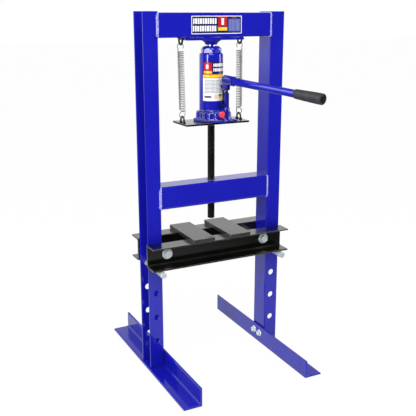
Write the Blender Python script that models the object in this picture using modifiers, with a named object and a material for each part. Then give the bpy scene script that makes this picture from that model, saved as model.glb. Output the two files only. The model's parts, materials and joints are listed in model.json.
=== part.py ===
"""A bench-height hydraulic shop press with its bottle jack, in metres, +Z up.

The origin is on the floor, midway between the two uprights. +X is to the operator's right and -Y is
the operator's side. The uprights, the two beams and the feet are one welded and bolted frame. The jack
stands on a plate that hangs from the top beam on two springs and drives the ram down onto the bed.
"""

import math

import bmesh
import bpy
from mathutils import Matrix, Vector

gap = 0.0003  # clearance between pieces that touch

# Frame
press_height = 0.945
inside_width = 0.318  # between the inner faces of the two uprights
channel_depth = 0.060
channel_width = 0.040
channel_wall = 0.004
pin_radius = 0.008
pin_spacing = 0.069
pin_hole_heights = [0.084 + pin_spacing * step for step in range(4)]
pin_hole_radius = pin_radius + 0.0005
pin_line = inside_width / 2 + channel_width / 2  # from the middle plane to the bed-pin holes

# Feet
foot_length = 0.510
foot_leg = 0.050
foot_wall = 0.005
foot_bolt_height = 0.030
foot_bolt_offset = 0.0155
foot_bolt_radius = 0.004

# Beams
beam_side = 0.060
beam_wall = 0.003
beam_corner = 0.005
beam_reach = inside_width / 2 - gap
top_beam_base = press_height - 0.003 - beam_side
middle_beam_base = 0.449
guide_wall = 0.0035

# Screw seat and springs
thrust_size = (0.160, 0.056, 0.007)
seat_height = 0.012
seat_roof = 0.002
spring_line = 0.083
spring_radius = 0.00825
spring_wire = 0.00115
hook_radius = 0.008
eye_wire = 0.0024
eye_half_width = 0.010
eye_drop = 0.0176  # from the top beam to the middle of the eye's wire
loop_rise = 0.0153  # from the carriage plate to the middle of the loop's wire

# Jack: heights are above the plate that it stands on
jack_turn = math.radians(16)
jack_height = 0.2038  # closed, up to the top of its screw
flange_height = 0.0067
base_height = 0.0267
piston_radius = 0.014
piston_bore = piston_radius + 0.0004
cylinder_radius = piston_bore + 0.0046
screw_radius = 0.0105
screw_bore = screw_radius + 0.0004
tank_radius = 0.031
tank_wall = 0.0025
tank_crown = tank_radius - 0.005  # where the shoulder meets the flat top
tank_shoulder = 0.1682
tank_top = 0.1742

# Carriage
plate_size = (0.182, 0.085, 0.005)
seat_top = top_beam_base - thrust_size[2] - 2 * gap
screw_top = seat_top - seat_roof - gap
plate_top = screw_top - jack_height - gap
plate_base = plate_top - plate_size[2]
ram_radius = 0.0095
ram_bore = ram_radius + 0.0005
ram_foot = middle_beam_base - 0.047

# Pump: distances forward of the jack's axis and to its right, and heights above the plate
link_forward = tank_radius + 0.0055
pump_forward = link_forward + 0.0115
pump_right = 0.0094
pump_radius = 0.0065
pump_seat = 0.0217
pump_top = 0.0737
plunger_radius = 0.004
plunger_bore = plunger_radius + 0.0004
plunger_pin_height = 0.0867
link_foot_height = 0.0407
link_head_height = 0.0917
link_half = 0.002
link_half_width = 0.00275
link_pin_radius = 0.0019
link_head_pin_radius = 0.0016
link_head_hole = 0.00265  # wide, so that the link's head can ride over the pin as the fork swings
cheek_inner = link_half + 0.0004
cheek_thick = 0.0035
cheek_outer = cheek_inner + cheek_thick
valve_right = -0.013
valve_height = 0.0217
valve_radius = 0.004
valve_start = tank_radius + 0.004
knob_back = pump_forward + 0.0028
knob_front = knob_back + 0.0082
knob_radius = 0.0085

# Handle: distances along it from the pump's axis
handle_slope = math.radians(4.1)
tube_radius = 0.0095
tube_wall = 0.0015
socket_bore = tube_radius + 0.0005
socket_radius = socket_bore + 0.0025
handle_rise = socket_radius + 0.0083  # of the handle's line above the plunger pin
socket_back = -0.006
socket_mouth = 0.027
grip_start = 0.224
grip_end = 0.314
grip_thick = 0.00375  # at the grip's wide end

# Bed
bed_reach = pin_line + 0.024
bed_height = 0.062
bed_flange = 0.045
bed_wall = 0.004
bed_base = pin_hole_heights[-1] + pin_radius + gap
bed_top = bed_base + bed_height
pin_reach = channel_depth / 2 + bed_flange + 0.012
tie_line = inside_width / 2 - 0.0125
tie_radius = 0.006
arbor_size = (0.061, 0.158, 0.010)
arbor_places = {"left": -0.0585, "right": 0.049}

# Ends and edges
chamfer = 0.001

# Turns that lay a flat outline or a turned piece along another axis
along_x = (math.radians(90), 0.0, math.radians(90))
towards_front = (math.radians(90), 0.0, 0.0)
towards_back = (math.radians(-90), 0.0, 0.0)
towards_right = (0.0, math.radians(90), 0.0)
towards_left = (0.0, math.radians(-90), 0.0)
side_on = (math.radians(90), 0.0, math.radians(-90))

blue = ((0.012, 0.013, 0.42, 1.0), 0.3, 0.0)
black = ((0.01, 0.01, 0.009, 1.0), 0.25, 0.0)
zinc = ((0.60, 0.61, 0.63, 1.0), 0.35, 1.0)
steel = ((0.50, 0.50, 0.52, 1.0), 0.25, 1.0)
chrome = ((0.75, 0.75, 0.77, 1.0), 0.12, 1.0)
rubber = ((0.025, 0.025, 0.027, 1.0), 0.6, 0.0)
red = ((0.85, 0.05, 0.07, 1.0), 0.35, 0.0)

for leftover in list(bpy.data.objects):
    bpy.data.objects.remove(leftover, do_unlink=True)
press = bpy.data.collections.new("hydraulic_shop_press")
cutters = bpy.data.collections.new("cutters")
bpy.context.scene.collection.children.link(press)
bpy.context.scene.collection.children.link(cutters)


# Makers of plain shapes


def empty(name, place, turn=(0.0, 0.0, 0.0), parent=None):
    """A frame that pieces are placed in."""
    made = bpy.data.objects.new(name, None)
    press.objects.link(made)
    made.location = place
    made.rotation_euler = turn
    made.parent = parent
    return made


def add_object(name, data, place, turn, parent):
    made = bpy.data.objects.new(name, data)
    press.objects.link(made)
    made.location = place
    made.rotation_euler = turn
    made.parent = parent
    return made


def add_bmesh(name, shape, place, turn, parent):
    mesh = bpy.data.meshes.new(name)
    shape.to_mesh(mesh)
    shape.free()
    return add_object(name, mesh, place, turn, parent)


def box(name, low, high, place=(0.0, 0.0, 0.0), turn=(0.0, 0.0, 0.0), parent=None):
    """A box between two corners."""
    size = Vector(high) - Vector(low)
    middle = (Vector(high) + Vector(low)) / 2
    shape = bmesh.new()
    spread = Matrix.Translation(middle) @ Matrix.Diagonal((*size, 1.0))
    bmesh.ops.create_cube(shape, size=1.0, matrix=spread)
    return add_bmesh(name, shape, place, turn, parent)


def bar(name, radius, start, end, sides=24, place=(0.0, 0.0, 0.0), turn=(0.0, 0.0, 0.0), parent=None):
    """A round or many-sided bar along its own Z."""
    shape = bmesh.new()
    bmesh.ops.create_cone(
        shape,
        cap_ends=True,
        segments=sides,
        radius1=radius,
        radius2=radius,
        depth=end - start,
        matrix=Matrix.Translation((0.0, 0.0, (start + end) / 2)),
    )
    return add_bmesh(name, shape, place, turn, parent)


def turned(name, profile, ring=False, sides=32, place=(0.0, 0.0, 0.0), turn=(0.0, 0.0, 0.0), parent=None):
    """A turned piece about its own Z from (radius, height) points that run down its outer side.

    A ring's profile closes on itself. Any other profile starts and ends on the axis.
    """
    points = [(radius, 0.0, height) for radius, height in profile]
    edges = [(step, step + 1) for step in range(len(points) - 1)]
    if ring:
        edges.append((len(points) - 1, 0))
    mesh = bpy.data.meshes.new(name)
    mesh.from_pydata(points, edges, [])
    made = add_object(name, mesh, place, turn, parent)
    spin = made.modifiers.new("turn", "SCREW")
    spin.axis = "Z"
    spin.steps = sides
    spin.render_steps = sides
    spin.use_merge_vertices = True
    spin.merge_threshold = 0.00001
    return made


def rounded(corners, steps=3):
    """The points of an outline from (x, y, radius) corners, with an arc at each corner that has one."""
    points = []
    for number, (x, y, radius) in enumerate(corners):
        here = Vector((x, y))
        if not radius:
            points.append((x, y))
            continue
        before = (Vector(corners[number - 1][:2]) - here).normalized()
        after = (Vector(corners[(number + 1) % len(corners)][:2]) - here).normalized()
        half = before.angle(after) / 2
        centre = here + (before + after).normalized() * (radius / math.sin(half))
        start = here + before * (radius / math.tan(half)) - centre
        end = here + after * (radius / math.tan(half)) - centre
        sweep = math.atan2(start.x * end.y - start.y * end.x, start.dot(end))
        for step in range(steps + 1):
            angle = sweep * step / steps
            points.append((
                centre.x + start.x * math.cos(angle) - start.y * math.sin(angle),
                centre.y + start.x * math.sin(angle) + start.y * math.cos(angle),
            ))
    return points


def plate(name, outline, thickness, hole=None, place=(0.0, 0.0, 0.0), turn=(0.0, 0.0, 0.0), parent=None):
    """A flat outline in its own XY plane, raised from zero to its thickness."""
    curve = bpy.data.curves.new(name, "CURVE")
    curve.dimensions = "2D"
    curve.fill_mode = "BOTH"
    curve.extrude = thickness / 2
    for loop in filter(None, (outline, hole)):
        spline = curve.splines.new("POLY")
        spline.points.add(len(loop) - 1)
        spline.use_cyclic_u = True
        for point, (x, y) in zip(spline.points, loop):
            point.co = (x, y, 0.0, 1.0)
    drawn = bpy.data.objects.new(name, curve)
    bpy.context.scene.collection.objects.link(drawn)
    seen = drawn.evaluated_get(bpy.context.evaluated_depsgraph_get())
    mesh = bpy.data.meshes.new_from_object(seen)
    bpy.data.objects.remove(drawn, do_unlink=True)
    shape = bmesh.new()
    shape.from_mesh(mesh)
    bmesh.ops.remove_doubles(shape, verts=shape.verts, dist=0.00001)
    bmesh.ops.translate(shape, verts=shape.verts, vec=(0.0, 0.0, thickness / 2))
    bpy.data.meshes.remove(mesh)
    return add_bmesh(name, shape, place, turn, parent)


def wire(name, points, radius, parent=None):
    """A bent round wire through its points."""
    curve = bpy.data.curves.new(name, "CURVE")
    curve.dimensions = "3D"
    curve.bevel_depth = radius
    curve.bevel_resolution = 2
    curve.use_fill_caps = True
    spline = curve.splines.new("POLY")
    spline.points.add(len(points) - 1)
    for point, place in zip(spline.points, points):
        point.co = (*place, 1.0)
    return add_object(name, curve, (0.0, 0.0, 0.0), (0.0, 0.0, 0.0), parent)


def combine(target, other, operation):
    """Joins the other shape to the target with UNION, or cuts it out with DIFFERENCE."""
    step = target.modifiers.new(operation.lower(), "BOOLEAN")
    step.operation = operation
    step.object = other
    step.solver = "EXACT"
    press.objects.unlink(other)
    cutters.objects.link(other)
    other.hide_render = True
    other.display_type = "WIRE"


def join(target, *others):
    for other in others:
        combine(target, other, "UNION")


def cut(target, *others):
    for other in others:
        combine(target, other, "DIFFERENCE")


def finish(piece, look):
    """Gives a piece its own material."""
    colour, roughness, metallic = look
    made = bpy.data.materials.new(piece.name)
    made.use_nodes = True
    shader = made.node_tree.nodes["Principled BSDF"]
    shader.inputs["Base Color"].default_value = colour
    shader.inputs["Roughness"].default_value = roughness
    shader.inputs["Metallic"].default_value = metallic
    piece.data.materials.clear()
    piece.data.materials.append(made)


def bolt(name, radius, length, across, head, washer, place, turn, parent=None):
    """A hex bolt with its washer: the clamped face is at zero and the shank runs along its own Z."""
    washer_radius, washer_height = washer
    made = turned(name, [
        (0.0, length),
        (radius - chamfer, length),
        (radius, length - chamfer),
        (radius, 0.0),
        (washer_radius, 0.0),
        (washer_radius, -washer_height),
        (0.0, -washer_height),
    ], sides=24, place=place, turn=turn, parent=parent)
    hexagon = bar(
        name + "_head", across / math.sqrt(3), -washer_height - head, -washer_height / 2,
        sides=6, place=place, turn=turn, parent=parent,
    )
    join(made, hexagon)
    finish(made, zinc)
    return made


def nut(name, radius, across, height, washer, place, turn, parent=None):
    """A hex nut with its washer: the clamped face is at zero and the nut stands along its own Z."""
    washer_radius, washer_height = washer
    made = bar(name, washer_radius, 0.0, washer_height, place=place, turn=turn, parent=parent)
    hexagon = bar(
        name + "_hex", across / math.sqrt(3), washer_height / 2, washer_height + height,
        sides=6, place=place, turn=turn, parent=parent,
    )
    bore = bar(
        name + "_bore", radius + gap, -height, washer_height + 2 * height,
        place=place, turn=turn, parent=parent,
    )
    join(made, hexagon)
    cut(made, bore)
    finish(made, zinc)
    return made


# Frame


def channel_outline(depth, width, wall):
    """A channel's section: its web lies along y at x = 0 and its two flanges run to +x."""
    half = depth / 2
    return rounded([
        (0.0, -half, 0.003),
        (width, -half, 0.0),
        (width, wall - half, 0.0015),
        (wall, wall - half, 0.004),
        (wall, half - wall, 0.004),
        (width, half - wall, 0.0015),
        (width, half, 0.0),
        (0.0, half, 0.003),
    ])


def mirrored(outline):
    return [(-x, y) for x, y in reversed(outline)]


def make_upright(name, side):
    section = channel_outline(channel_depth, channel_width, channel_wall)
    outline = section if side > 0 else mirrored(section)
    foot = foot_wall + gap
    made = plate(name, outline, press_height - foot, place=(side * inside_width / 2, 0.0, foot))
    for number, height in enumerate(pin_hole_heights):
        cut(made, bar(
            f"{name}_pin_hole_{number}", pin_hole_radius, -channel_depth, channel_depth, sides=20,
            place=(side * pin_line, 0.0, height), turn=towards_front,
        ))
    for y in (-foot_bolt_offset, foot_bolt_offset):
        cut(made, bar(
            f"{name}_bolt_hole_{y:+.4f}", foot_bolt_radius + gap, -0.02, 0.02,
            place=(side * inside_width / 2, y, foot_bolt_height), turn=towards_right,
        ))
    finish(made, blue)


def make_foot(name, side):
    """An angle along the floor: one leg stands against the upright, the other lies under it."""
    inner = inside_width / 2 - foot_wall - gap
    outline = rounded([
        (0.0, 0.0, 0.0),
        (foot_leg, 0.0, 0.0),
        (foot_leg, foot_wall, 0.003),
        (foot_wall, foot_wall, 0.0),
        (foot_wall, foot_leg, 0.003),
        (0.0, foot_leg, 0.0),
    ])
    outline = outline if side > 0 else mirrored(outline)
    made = plate(name, outline, foot_length, place=(side * inner, foot_length / 2, 0.0), turn=towards_front)
    for y in (-foot_bolt_offset, foot_bolt_offset):
        cut(made, bar(
            f"{name}_bolt_hole_{y:+.4f}", foot_bolt_radius + gap, -0.02, 0.02,
            place=(side * inner, y, foot_bolt_height), turn=towards_right,
        ))
    finish(made, blue)


def make_foot_fasteners(label, side):
    """Two bolts from inside the press through each foot and upright, with their nuts in the channel."""
    inner = inside_width / 2 - foot_wall - 2 * gap
    outer = inside_width / 2 + channel_wall + gap
    outward = towards_right if side > 0 else towards_left
    for end, y in (("front", -foot_bolt_offset), ("back", foot_bolt_offset)):
        bolt(
            f"foot_bolt_{label}_{end}", foot_bolt_radius, 0.023, 0.013, 0.0055, (0.0085, 0.0015),
            (side * inner, y, foot_bolt_height), outward,
        )
        nut(
            f"foot_nut_{label}_{end}", foot_bolt_radius, 0.013, 0.0065, (0.0064, 0.0012),
            (side * outer, y, foot_bolt_height), outward,
        )


def square_outline(side, corner):
    half = side / 2
    return rounded([(-half, -half, corner), (half, -half, corner), (half, half, corner), (-half, half, corner)])


def make_beam(name, base):
    """A square hollow section between the uprights, open at its ends."""
    return plate(
        name,
        square_outline(beam_side, beam_corner),
        2 * beam_reach,
        hole=square_outline(beam_side - 2 * beam_wall, beam_corner - beam_wall),
        place=(-beam_reach, 0.0, base + beam_side / 2),
        turn=along_x,
    )


def make_frame():
    for label, side in (("left", -1), ("right", 1)):
        make_upright(f"{label}_upright", side)
        make_foot(f"{label}_foot", side)
        make_foot_fasteners(label, side)
    finish(make_beam("top_beam", top_beam_base), blue)
    guide_radius = ram_bore + guide_wall
    middle = make_beam("middle_beam", middle_beam_base)
    bore_reach = beam_side
    cut(middle, bar(
        "middle_beam_bore", guide_radius + gap, -bore_reach, bore_reach,
        place=(0.0, 0.0, middle_beam_base + beam_side / 2),
    ))
    finish(middle, blue)
    proud = 0.0005
    low = middle_beam_base - proud
    high = middle_beam_base + beam_side + proud
    guide = turned("ram_guide", [
        (ram_bore, high),
        (guide_radius, high),
        (guide_radius, low),
        (ram_bore, low),
    ], ring=True)
    finish(guide, steel)


def make_screw_seat():
    """The thrust plate under the top beam and the cup that the jack's screw pushes into."""
    length, depth, thick = thrust_size
    top = top_beam_base - gap
    thrust = box("thrust_plate", (-length / 2, -depth / 2, top - thick), (length / 2, depth / 2, top))
    finish(thrust, blue)
    rim = 0.022
    low = seat_top - seat_height
    seat = turned("screw_seat", [
        (0.0, seat_top),
        (rim, seat_top),
        (rim - 0.0005, seat_top - 0.003),
        (rim - 0.004, low),
        (screw_bore, low),
        (screw_bore, seat_top - seat_roof),
        (0.0, seat_top - seat_roof),
    ])
    finish(seat, blue)


def eye_points(x, root, tip):
    """A U in the plane across the press, from its two feet at root round to its middle at tip."""
    down = 1 if tip > root else -1
    turn_height = tip - down * eye_half_width
    points = [(x, -eye_half_width, root)]
    for step in range(13):
        angle = math.pi * step / 12
        y = -eye_half_width * math.cos(angle)
        points.append((x, y, turn_height + down * eye_half_width * math.sin(angle)))
    points.append((x, eye_half_width, root))
    return points


def make_spring(name, x, high, low):
    """A closed-wound tension spring: its barrel, and a round hook at each end through an eye."""
    reach = hook_radius - 0.0035
    top_hook = high - reach
    foot_hook = low + reach
    barrel_high = top_hook - hook_radius - 0.002
    barrel_low = foot_hook + hook_radius + 0.002
    made = bar(name, spring_radius, barrel_low, barrel_high, place=(x, 0.0, 0.0))
    for end, height, side in (("top", top_hook, 1), ("foot", foot_hook, -1)):
        bpy.ops.mesh.primitive_torus_add(
            major_segments=20, minor_segments=6, major_radius=hook_radius, minor_radius=spring_wire,
            location=(x, 0.0, height), rotation=towards_front,
        )
        hook = bpy.context.object
        hook.name = f"{name}_{end}_hook"
        bpy.context.collection.objects.unlink(hook)
        press.objects.link(hook)
        root = height - side * (hook_radius + 0.004)
        crown = height - side * (hook_radius - 0.0006)
        neck = bar(
            f"{name}_{end}_neck", spring_wire * 1.3, min(root, crown), max(root, crown),
            sides=12, place=(x, 0.0, 0.0),
        )
        join(made, neck, hook)
    finish(made, zinc)


def make_springs():
    eye_tip = top_beam_base - eye_drop
    loop_tip = plate_top + gap + loop_rise
    for label, side in (("left", -1), ("right", 1)):
        x = side * spring_line
        finish(wire(f"spring_eye_{label}", eye_points(x, top_beam_base - gap, eye_tip), eye_wire), black)
        finish(wire(f"spring_loop_{label}", eye_points(x, plate_top + gap, loop_tip), eye_wire), black)
        make_spring(f"return_spring_{label}", x, eye_tip, loop_tip)


# Carriage and jack


def make_carriage():
    length, depth, thick = plate_size
    carriage = box("carriage_plate", (-length / 2, -depth / 2, plate_base), (length / 2, depth / 2, plate_top))
    finish(carriage, black)
    ram_top = plate_base - gap
    ram = turned("press_ram", [
        (0.0, ram_top),
        (ram_radius, ram_top),
        (ram_radius, ram_foot + chamfer),
        (ram_radius - chamfer, ram_foot),
        (0.0, ram_foot),
    ])
    finish(ram, black)


def make_jack_base(jack):
    """The casting: a flange, the body over it, and bosses for the pump, the valve and the link."""
    half = tank_radius + 0.007
    right = half + 0.002
    back = tank_radius + 0.003
    front = pump_forward + 0.009
    made = plate("jack_base", rounded([
        (-half, back, 0.010),
        (-half, -back + 0.004, 0.004),
        (-half + 0.026, -front, 0.004),
        (right, -front, 0.004),
        (right, back, 0.010),
    ]), flange_height, parent=jack)
    sunk = 0.001  # how far the upper shapes reach into the flange
    body_half = tank_radius + 0.003
    body_back = tank_radius - 0.001
    body_front = pump_forward + 0.004
    body = plate("jack_base_body", rounded([
        (-body_half, body_back, 0.014),
        (-body_half, -tank_radius + 0.003, 0.006),
        (-body_half + 0.018, -body_front + 0.0025, 0.004),
        (body_half - 0.010, -body_front, 0.006),
        (body_half, -body_front + 0.014, 0.006),
        (body_half, body_back, 0.014),
    ]), base_height - flange_height + sunk, place=(0.0, 0.0, flange_height - sunk), parent=jack)
    pump_place = (pump_right, -pump_forward, 0.0)
    pump_boss = bar(
        "jack_base_pump_boss", pump_radius + 0.002, flange_height - sunk, pump_seat + 0.016,
        place=pump_place, parent=jack,
    )
    pump_bore = bar(
        "jack_base_pump_bore", pump_radius + gap, pump_seat, pump_top,
        place=pump_place, parent=jack,
    )
    valve_place = (valve_right, 0.0, valve_height)
    valve_boss = bar(
        "jack_base_valve_boss", valve_radius + 0.003, valve_start - 0.001, knob_back - 0.0011,
        place=valve_place, turn=towards_front, parent=jack,
    )
    valve_bore = bar(
        "jack_base_valve_bore", valve_radius + gap, valve_start - gap, knob_front,
        place=valve_place, turn=towards_front, parent=jack,
    )
    join(made, body, pump_boss, valve_boss)
    lug_half = 0.0037
    lug_thick = 0.0025
    lug_outline = rounded([
        (-lug_half, lug_half, lug_half - 0.0001),
        (-lug_half, -0.017, 0.0),
        (lug_half, -0.017, 0.0),
        (lug_half, lug_half, lug_half - 0.0001),
    ])
    for label, edge in (("right", cheek_inner + lug_thick), ("left", -cheek_inner)):
        lug = plate(
            f"jack_base_lug_{label}", lug_outline, lug_thick,
            place=(pump_right + edge, -link_forward, link_foot_height), turn=side_on, parent=jack,
        )
        join(made, lug)
    lug_bore = bar(
        "jack_base_lug_bore", link_pin_radius + gap, -0.02, 0.02,
        place=(pump_right, -link_forward, link_foot_height), turn=towards_right, parent=jack,
    )
    cut(made, pump_bore, valve_bore, lug_bore)
    finish(made, blue)


def make_tank(jack):
    """The oil tank: a turned shell with a round shoulder, closed by a nut and a plug."""
    shoulder_steps = 4
    shoulder = []
    for step in range(shoulder_steps + 1):
        angle = math.pi / 2 * step / shoulder_steps
        shoulder.append((
            tank_crown + (tank_radius - tank_crown) * math.sin(angle),
            tank_shoulder + (tank_top - tank_shoulder) * math.cos(angle),
        ))
    inner = tank_radius - tank_wall
    hole = cylinder_radius + 0.0004
    tank = turned("jack_tank", [
        (hole, tank_top),
        *shoulder,
        (tank_radius, base_height + gap),
        (inner, base_height + gap),
        (inner, tank_shoulder - tank_wall),
        (tank_crown - chamfer, tank_top - tank_wall),
        (hole, tank_top - tank_wall),
    ], ring=True, sides=40, parent=jack)
    plug_place = (0.0, 0.0, tank_shoulder - 0.0145)
    plug_radius = 0.0047
    plug_hole = bar(
        "jack_tank_plug_hole", plug_radius + gap, inner - 0.006, tank_radius + 0.009,
        place=plug_place, turn=towards_back, parent=jack,
    )
    cut(tank, plug_hole)
    finish(tank, blue)
    head = tank_radius + 0.0025
    plug = turned("filler_plug", [
        (0.0, head),
        (plug_radius, head),
        (plug_radius + 0.0015, head - chamfer),
        (plug_radius + 0.0015, tank_radius + gap),
        (plug_radius, tank_radius + gap),
        (plug_radius, inner - chamfer),
        (0.0, inner - chamfer),
    ], sides=24, place=plug_place, turn=towards_back, parent=jack)
    finish(plug, rubber)


def make_cap_nut(jack):
    """The nut that closes the tank and guides the piston, with four notches for a spanner."""
    foot = tank_top + gap
    tier = foot + 0.0082
    cap_radius = tank_crown - 0.0005
    cap = turned("jack_cap_nut", [
        (piston_bore, tier + 0.0087),
        (piston_bore + 0.0016, tier + 0.0087),
        (piston_bore + 0.0056, tier + 0.002),
        (cap_radius, tier),
        (cap_radius, foot),
        (piston_bore, foot),
    ], ring=True, parent=jack)
    for number in range(4):
        cut(cap, box(
            f"jack_cap_nut_slot_{number}",
            (cap_radius - 0.003, -0.003, foot - 0.001),
            (cap_radius + 0.005, 0.003, tier + 0.002),
            turn=(0.0, 0.0, math.radians(45 + 90 * number)), parent=jack,
        ))
    finish(cap, blue)


def make_cylinder_and_piston(jack):
    """The pressure cylinder inside the tank, and the piston and screw that stay under the seat."""
    bore_floor = base_height + 0.005
    cylinder_top = tank_top - 0.0001
    cylinder = turned("jack_cylinder", [
        (0.0, bore_floor),
        (piston_bore, bore_floor),
        (piston_bore, cylinder_top),
        (cylinder_radius, cylinder_top),
        (cylinder_radius, base_height + gap),
        (0.0, base_height + gap),
    ], parent=jack)
    finish(cylinder, steel)
    foot = bore_floor + 0.003
    top = jack_height - 0.013
    groove_low = foot + 0.003
    groove_high = groove_low + 0.004
    groove_radius = piston_radius - 0.002
    screw_foot = groove_high + 0.006
    piston = turned("jack_piston", [
        (0.0, screw_foot - 0.001),
        (screw_bore, screw_foot - 0.001),
        (screw_bore, top),
        (piston_radius, top),
        (piston_radius, groove_high),
        (groove_radius, groove_high),
        (groove_radius, groove_low),
        (piston_radius, groove_low),
        (piston_radius, foot),
        (0.0, foot),
    ], parent=jack)
    finish(piston, chrome)
    seal_outer = piston_radius + 0.0001
    seal = turned("piston_seal", [
        (groove_radius + gap, groove_high - gap),
        (seal_outer, groove_high - gap),
        (seal_outer, groove_low + gap),
        (groove_radius + gap, groove_low + gap),
    ], ring=True, parent=jack)
    finish(seal, rubber)
    screw = turned("extension_screw", [
        (0.0, jack_height),
        (screw_radius - chamfer, jack_height),
        (screw_radius, jack_height - chamfer),
        (screw_radius, screw_foot),
        (0.0, screw_foot),
    ], parent=jack)
    finish(screw, chrome)


def make_valve(jack):
    """The release valve: a screw in the base with a knob that is turned by hand."""
    valve = empty("valve_axis", (valve_right, 0.0, valve_height), towards_front, jack)
    stem = bar("release_screw", valve_radius, valve_start, knob_back - gap, parent=valve)
    finish(stem, steel)
    knob = turned("release_knob", [
        (0.0, knob_front),
        (knob_radius - 0.002, knob_front),
        (knob_radius, knob_front - 0.002),
        (knob_radius, knob_back + chamfer),
        (knob_radius - chamfer, knob_back),
        (0.0, knob_back),
    ], parent=valve)
    flute_count = 8
    flute_line = knob_radius + 0.0006
    for number in range(flute_count):
        angle = 2 * math.pi * number / flute_count
        cut(knob, bar(
            f"release_knob_flute_{number}", 0.0013, knob_back - 0.001, knob_front + 0.001, sides=12,
            place=(flute_line * math.cos(angle), flute_line * math.sin(angle), 0.0), parent=valve,
        ))
    finish(knob, red)


# Pump and handle


def pivot_pin(name, radius, grip, head_radius, place, parent, look=steel):
    """A riveted pin across the jack, with a head past each end of what it holds."""
    head = 0.0012
    made = turned(name, [
        (0.0, grip + head),
        (head_radius, grip + head),
        (head_radius, grip),
        (radius, grip),
        (radius, -grip),
        (head_radius, -grip),
        (head_radius, -grip - head),
        (0.0, -grip - head),
    ], sides=24, place=place, turn=towards_right, parent=parent)
    finish(made, look)


def make_pump(jack):
    place = (pump_right, -pump_forward, 0.0)
    floor = pump_seat + 0.004
    cylinder = turned("pump_cylinder", [
        (0.0, floor),
        (plunger_bore, floor),
        (plunger_bore, pump_top),
        (pump_radius, pump_top),
        (pump_radius, pump_seat + gap),
        (0.0, pump_seat + gap),
    ], sides=24, place=place, parent=jack)
    finish(cylinder, blue)
    seal_top = pump_top + 0.0016
    seal = turned("pump_seal", [
        (plunger_bore, seal_top),
        (pump_radius - 0.001, seal_top),
        (pump_radius - 0.0005, pump_top + gap),
        (plunger_bore, pump_top + gap),
    ], ring=True, sides=24, place=place, parent=jack)
    finish(seal, rubber)
    shoulder = plunger_pin_height - 0.008
    plunger = turned("pump_plunger", [
        (0.0, shoulder),
        (plunger_radius, shoulder),
        (plunger_radius, pump_top - 0.030),
        (0.0, pump_top - 0.030),
    ], sides=24, place=place, parent=jack)
    pin_place = (pump_right, -pump_forward, plunger_pin_height)
    eye = plate("pump_plunger_eye", rounded([
        (-0.0040, 0.0042, 0.0036),
        (-0.0026, -0.011, 0.0),
        (0.0026, -0.011, 0.0),
        (0.0040, 0.0042, 0.0036),
    ]), 2 * link_half, place=(pump_right + link_half, *pin_place[1:]), turn=side_on, parent=jack)
    hole = bar(
        "pump_plunger_pin_hole", link_pin_radius + gap, -0.01, 0.01,
        place=pin_place, turn=towards_right, parent=jack,
    )
    join(plunger, eye)
    cut(plunger, hole)
    finish(plunger, steel)
    pivot_pin("plunger_pin", link_pin_radius, cheek_outer + gap, 0.0032, pin_place, jack)


def make_link(jack):
    """The flat link that holds the fork's back end at a fixed distance from the base, and its lower pin."""
    foot = (pump_right, -link_forward, link_foot_height)
    pivot_pin("link_foot_pin", link_pin_radius, 0.0052, 0.0030, foot, jack)
    length = link_head_height - link_foot_height
    pivot = empty("link_pivot", foot, parent=jack)
    link = box(
        "pump_link", (-link_half, -link_half_width, 0.0), (link_half, link_half_width, length), parent=pivot,
    )
    for label, height, radius, hole in (
        ("foot", 0.0, link_pin_radius + 0.0019, link_pin_radius + gap),
        ("head", length, link_head_hole + 0.00155, link_head_hole),
    ):
        place = (0.0, 0.0, height)
        join(link, bar(
            f"pump_link_{label}_eye", radius, -link_half, link_half,
            place=place, turn=towards_right, parent=pivot,
        ))
        cut(link, bar(
            f"pump_link_{label}_hole", hole, -0.01, 0.01,
            place=place, turn=towards_right, parent=pivot,
        ))
    finish(link, black)


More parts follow.
